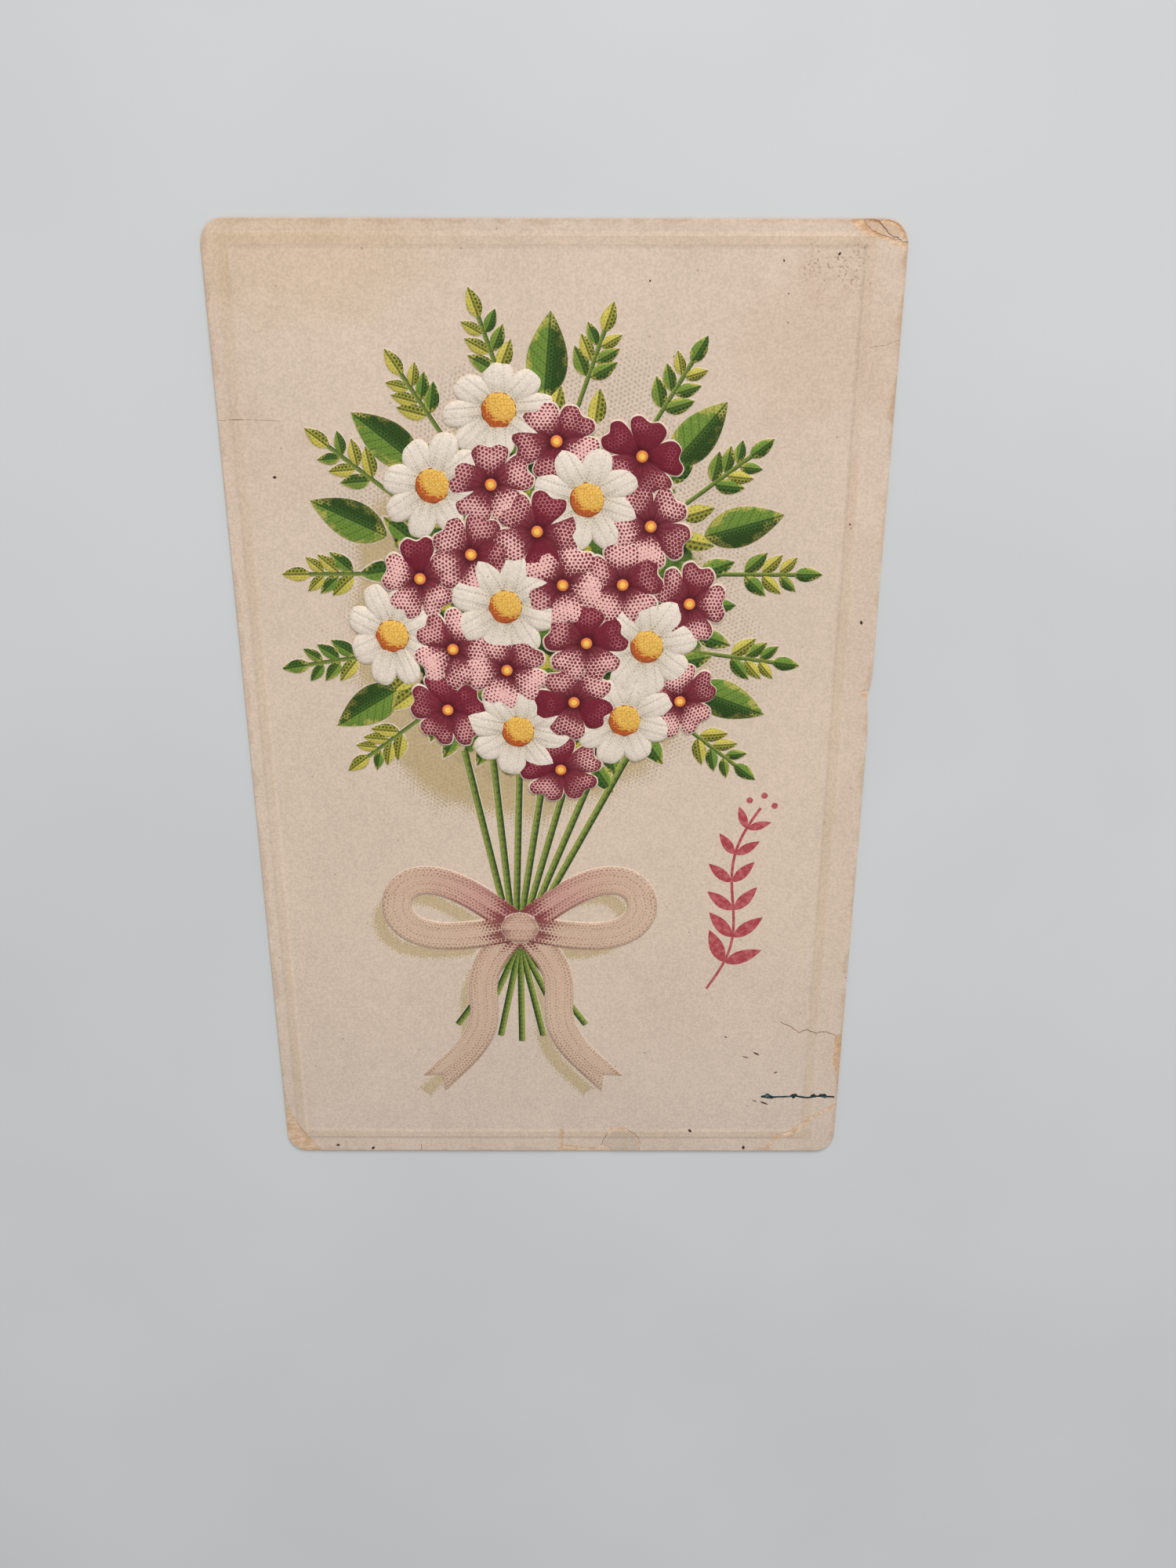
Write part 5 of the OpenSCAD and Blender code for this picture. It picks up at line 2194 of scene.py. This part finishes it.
    def lay_marks(self, press: Press) -> None:
        """Lay the pen stroke, the dashes and the specks as films.

        Args:
            press: The press.
        """
        face = press.sizes.stock
        line = Bench.strip("pen", ragged(self.stroke, 2, 0.05, 60, False),
                           flat_profile(self.pen_half), self.pen_rows, FILM_DEPTH, self.pen_half)
        press.strike(line, at(0, 0, face + self.pen_level), Ink.PEN, side=Side.FILM)
        dot = Bench.lobe("speck", oval(1.0, 1.0, 10), (0.0, 0.0), self.speck_rings)
        for k, (x, y, long, wide, turn) in enumerate(self.blobs):
            place = at(x, y, face + self.blob_level + self.blob_step * k, turn)
            press.strike(dot, place @ grown(long, wide), Ink.PEN, side=Side.FILM)
        for k, (x, y, long, wide, turn, tone) in enumerate(self.dashes):
            place = at(x, y, face + self.dash_level + self.speck_step * k, turn)
            press.strike(dot, place @ grown(long, wide), Ink.SPECK, tone, Side.FILM)
        for k, (x, y, r) in enumerate(self.specks):
            place = at(x, y, face + self.speck_level + self.speck_step * k, self.speck_turn * k)
            press.strike(dot, place @ grown(r * 1.2, r * 0.8), Ink.SPECK, side=Side.FILM)
        Bench.scrap(line, dot)


@dataclass
class Studio:
    """Pale floor, soft lamps and the camera that looks down on the card."""

    focal: float = 29.27
    sensor: float = 36.0
    near: float = 0.01
    stand: Triple = (4.238, 60.365, 174.201)
    right: Triple = (0.999999, 0.001437, -0.00008)
    down: Triple = (0.001372, -0.934776, 0.355234)
    forward: Triple = (0.000434, -0.355234, -0.934777)
    floor_size: float = 6.0
    floor_drop: float = 0.00002
    floor_rough: float = 0.7
    floor_tones: tuple[Colour, Colour] = (colour(196, 198, 199), colour(201, 203, 204))
    world_level: float = 0.42
    key_place: Triple = (0.14, 0.765, 0.504)
    key_size: float = 0.42
    key_power: float = 2.35
    key_spread: float = 100.0
    fill_place: Triple = (0.65, -0.56, 2.09)
    fill_size: float = 1.68
    fill_power: float = 8.85
    fill_spread: float = 180.0

    def floor(self) -> None:
        """Model the floor under the card."""
        Bench.clear()
        bpy.ops.mesh.primitive_plane_add(size=self.floor_size, location=(0, 0, 0))
        floor = bpy.context.object
        floor.name = "floor"
        floor.data.transform(Matrix.Translation((0, 0, -self.floor_drop)))
        material = bpy.data.materials.new("pale_floor")
        material.use_nodes = True
        t = Tree(material.node_tree)
        shader = material.node_tree.nodes["Principled BSDF"]
        place = t.add("ShaderNodeTexCoord").outputs["Object"]
        cloud = t.ease(t.noise(place, 14.0, 3.0), 0.3, 0.7)
        t.put(shader.inputs["Base Color"], t.mix(cloud, *self.floor_tones))
        shader.inputs["Roughness"].default_value = self.floor_rough
        floor.data.materials.append(material)

    def lamp(self, name: str, place: Triple, size: float, power: float, spread: float) -> None:
        """Hang a soft lamp that looks at the card.

        Args:
            name: The lamp's name.
            place: Where it hangs, in metres.
            size: Width of its panel.
            power: Its power in watts.
            spread: How widely its light fans out, in degrees.
        """
        data = bpy.data.lights.new(name, "AREA")
        data.shape = "SQUARE"
        data.size = size
        data.energy = power
        data.spread = math.radians(spread)
        lamp = bpy.data.objects.new(name, data)
        lamp.location = place
        lamp.rotation_euler = (-Vector(place)).to_track_quat("-Z", "Y").to_euler()
        bpy.context.scene.collection.objects.link(lamp)

    def camera(self) -> None:
        """Set up the camera from its three axes."""
        data = bpy.data.cameras.new("camera")
        data.sensor_fit = "AUTO"
        data.sensor_width = self.sensor
        data.lens = self.focal
        data.clip_start = self.near
        camera = bpy.data.objects.new("camera", data)
        up, back = tuple(-v for v in self.down), tuple(-v for v in self.forward)
        axes = Matrix((self.right, up, back)).transposed()
        camera.matrix_world = Matrix.Translation([v * MM for v in self.stand]) @ axes.to_4x4()
        bpy.context.scene.collection.objects.link(camera)
        bpy.context.scene.camera = camera

    def build(self) -> None:
        """Set up floor, lamps, world and camera."""
        self.floor()
        self.lamp("key", self.key_place, self.key_size, self.key_power, self.key_spread)
        self.lamp("fill", self.fill_place, self.fill_size, self.fill_power, self.fill_spread)
        world = bpy.data.worlds.new("studio")
        world.use_nodes = True
        sky = world.node_tree.nodes["Background"]
        sky.inputs["Color"].default_value = (1.0, 1.0, 1.0, 1.0)
        sky.inputs["Strength"].default_value = self.world_level
        bpy.context.scene.world = world
        self.camera()
        bpy.context.scene.view_settings.view_transform = "Standard"
        LOG.info("studio: set up")


def main() -> None:
    """Build the postcard and its studio in order."""
    logging.basicConfig(level=logging.INFO, format="%(message)s")
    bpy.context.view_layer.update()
    inks = InkRoom()
    sizes = Sheet()
    press = Press(sizes.build(inks), sizes, inks)
    BorderBand().build(press)
    PosyHead().build(press)
    Foliage().build(press)
    Stems().build(press)
    RibbonBow().build(press)
    RoseSpray().build(press)
    Wear().build(press)
    card = press.finish()
    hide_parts("card")
    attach(card, "root")
    LOG.info("postcard: %d faces", len(card.data.polygons))
    Studio().build()


if __name__ == "__main__":
    main()
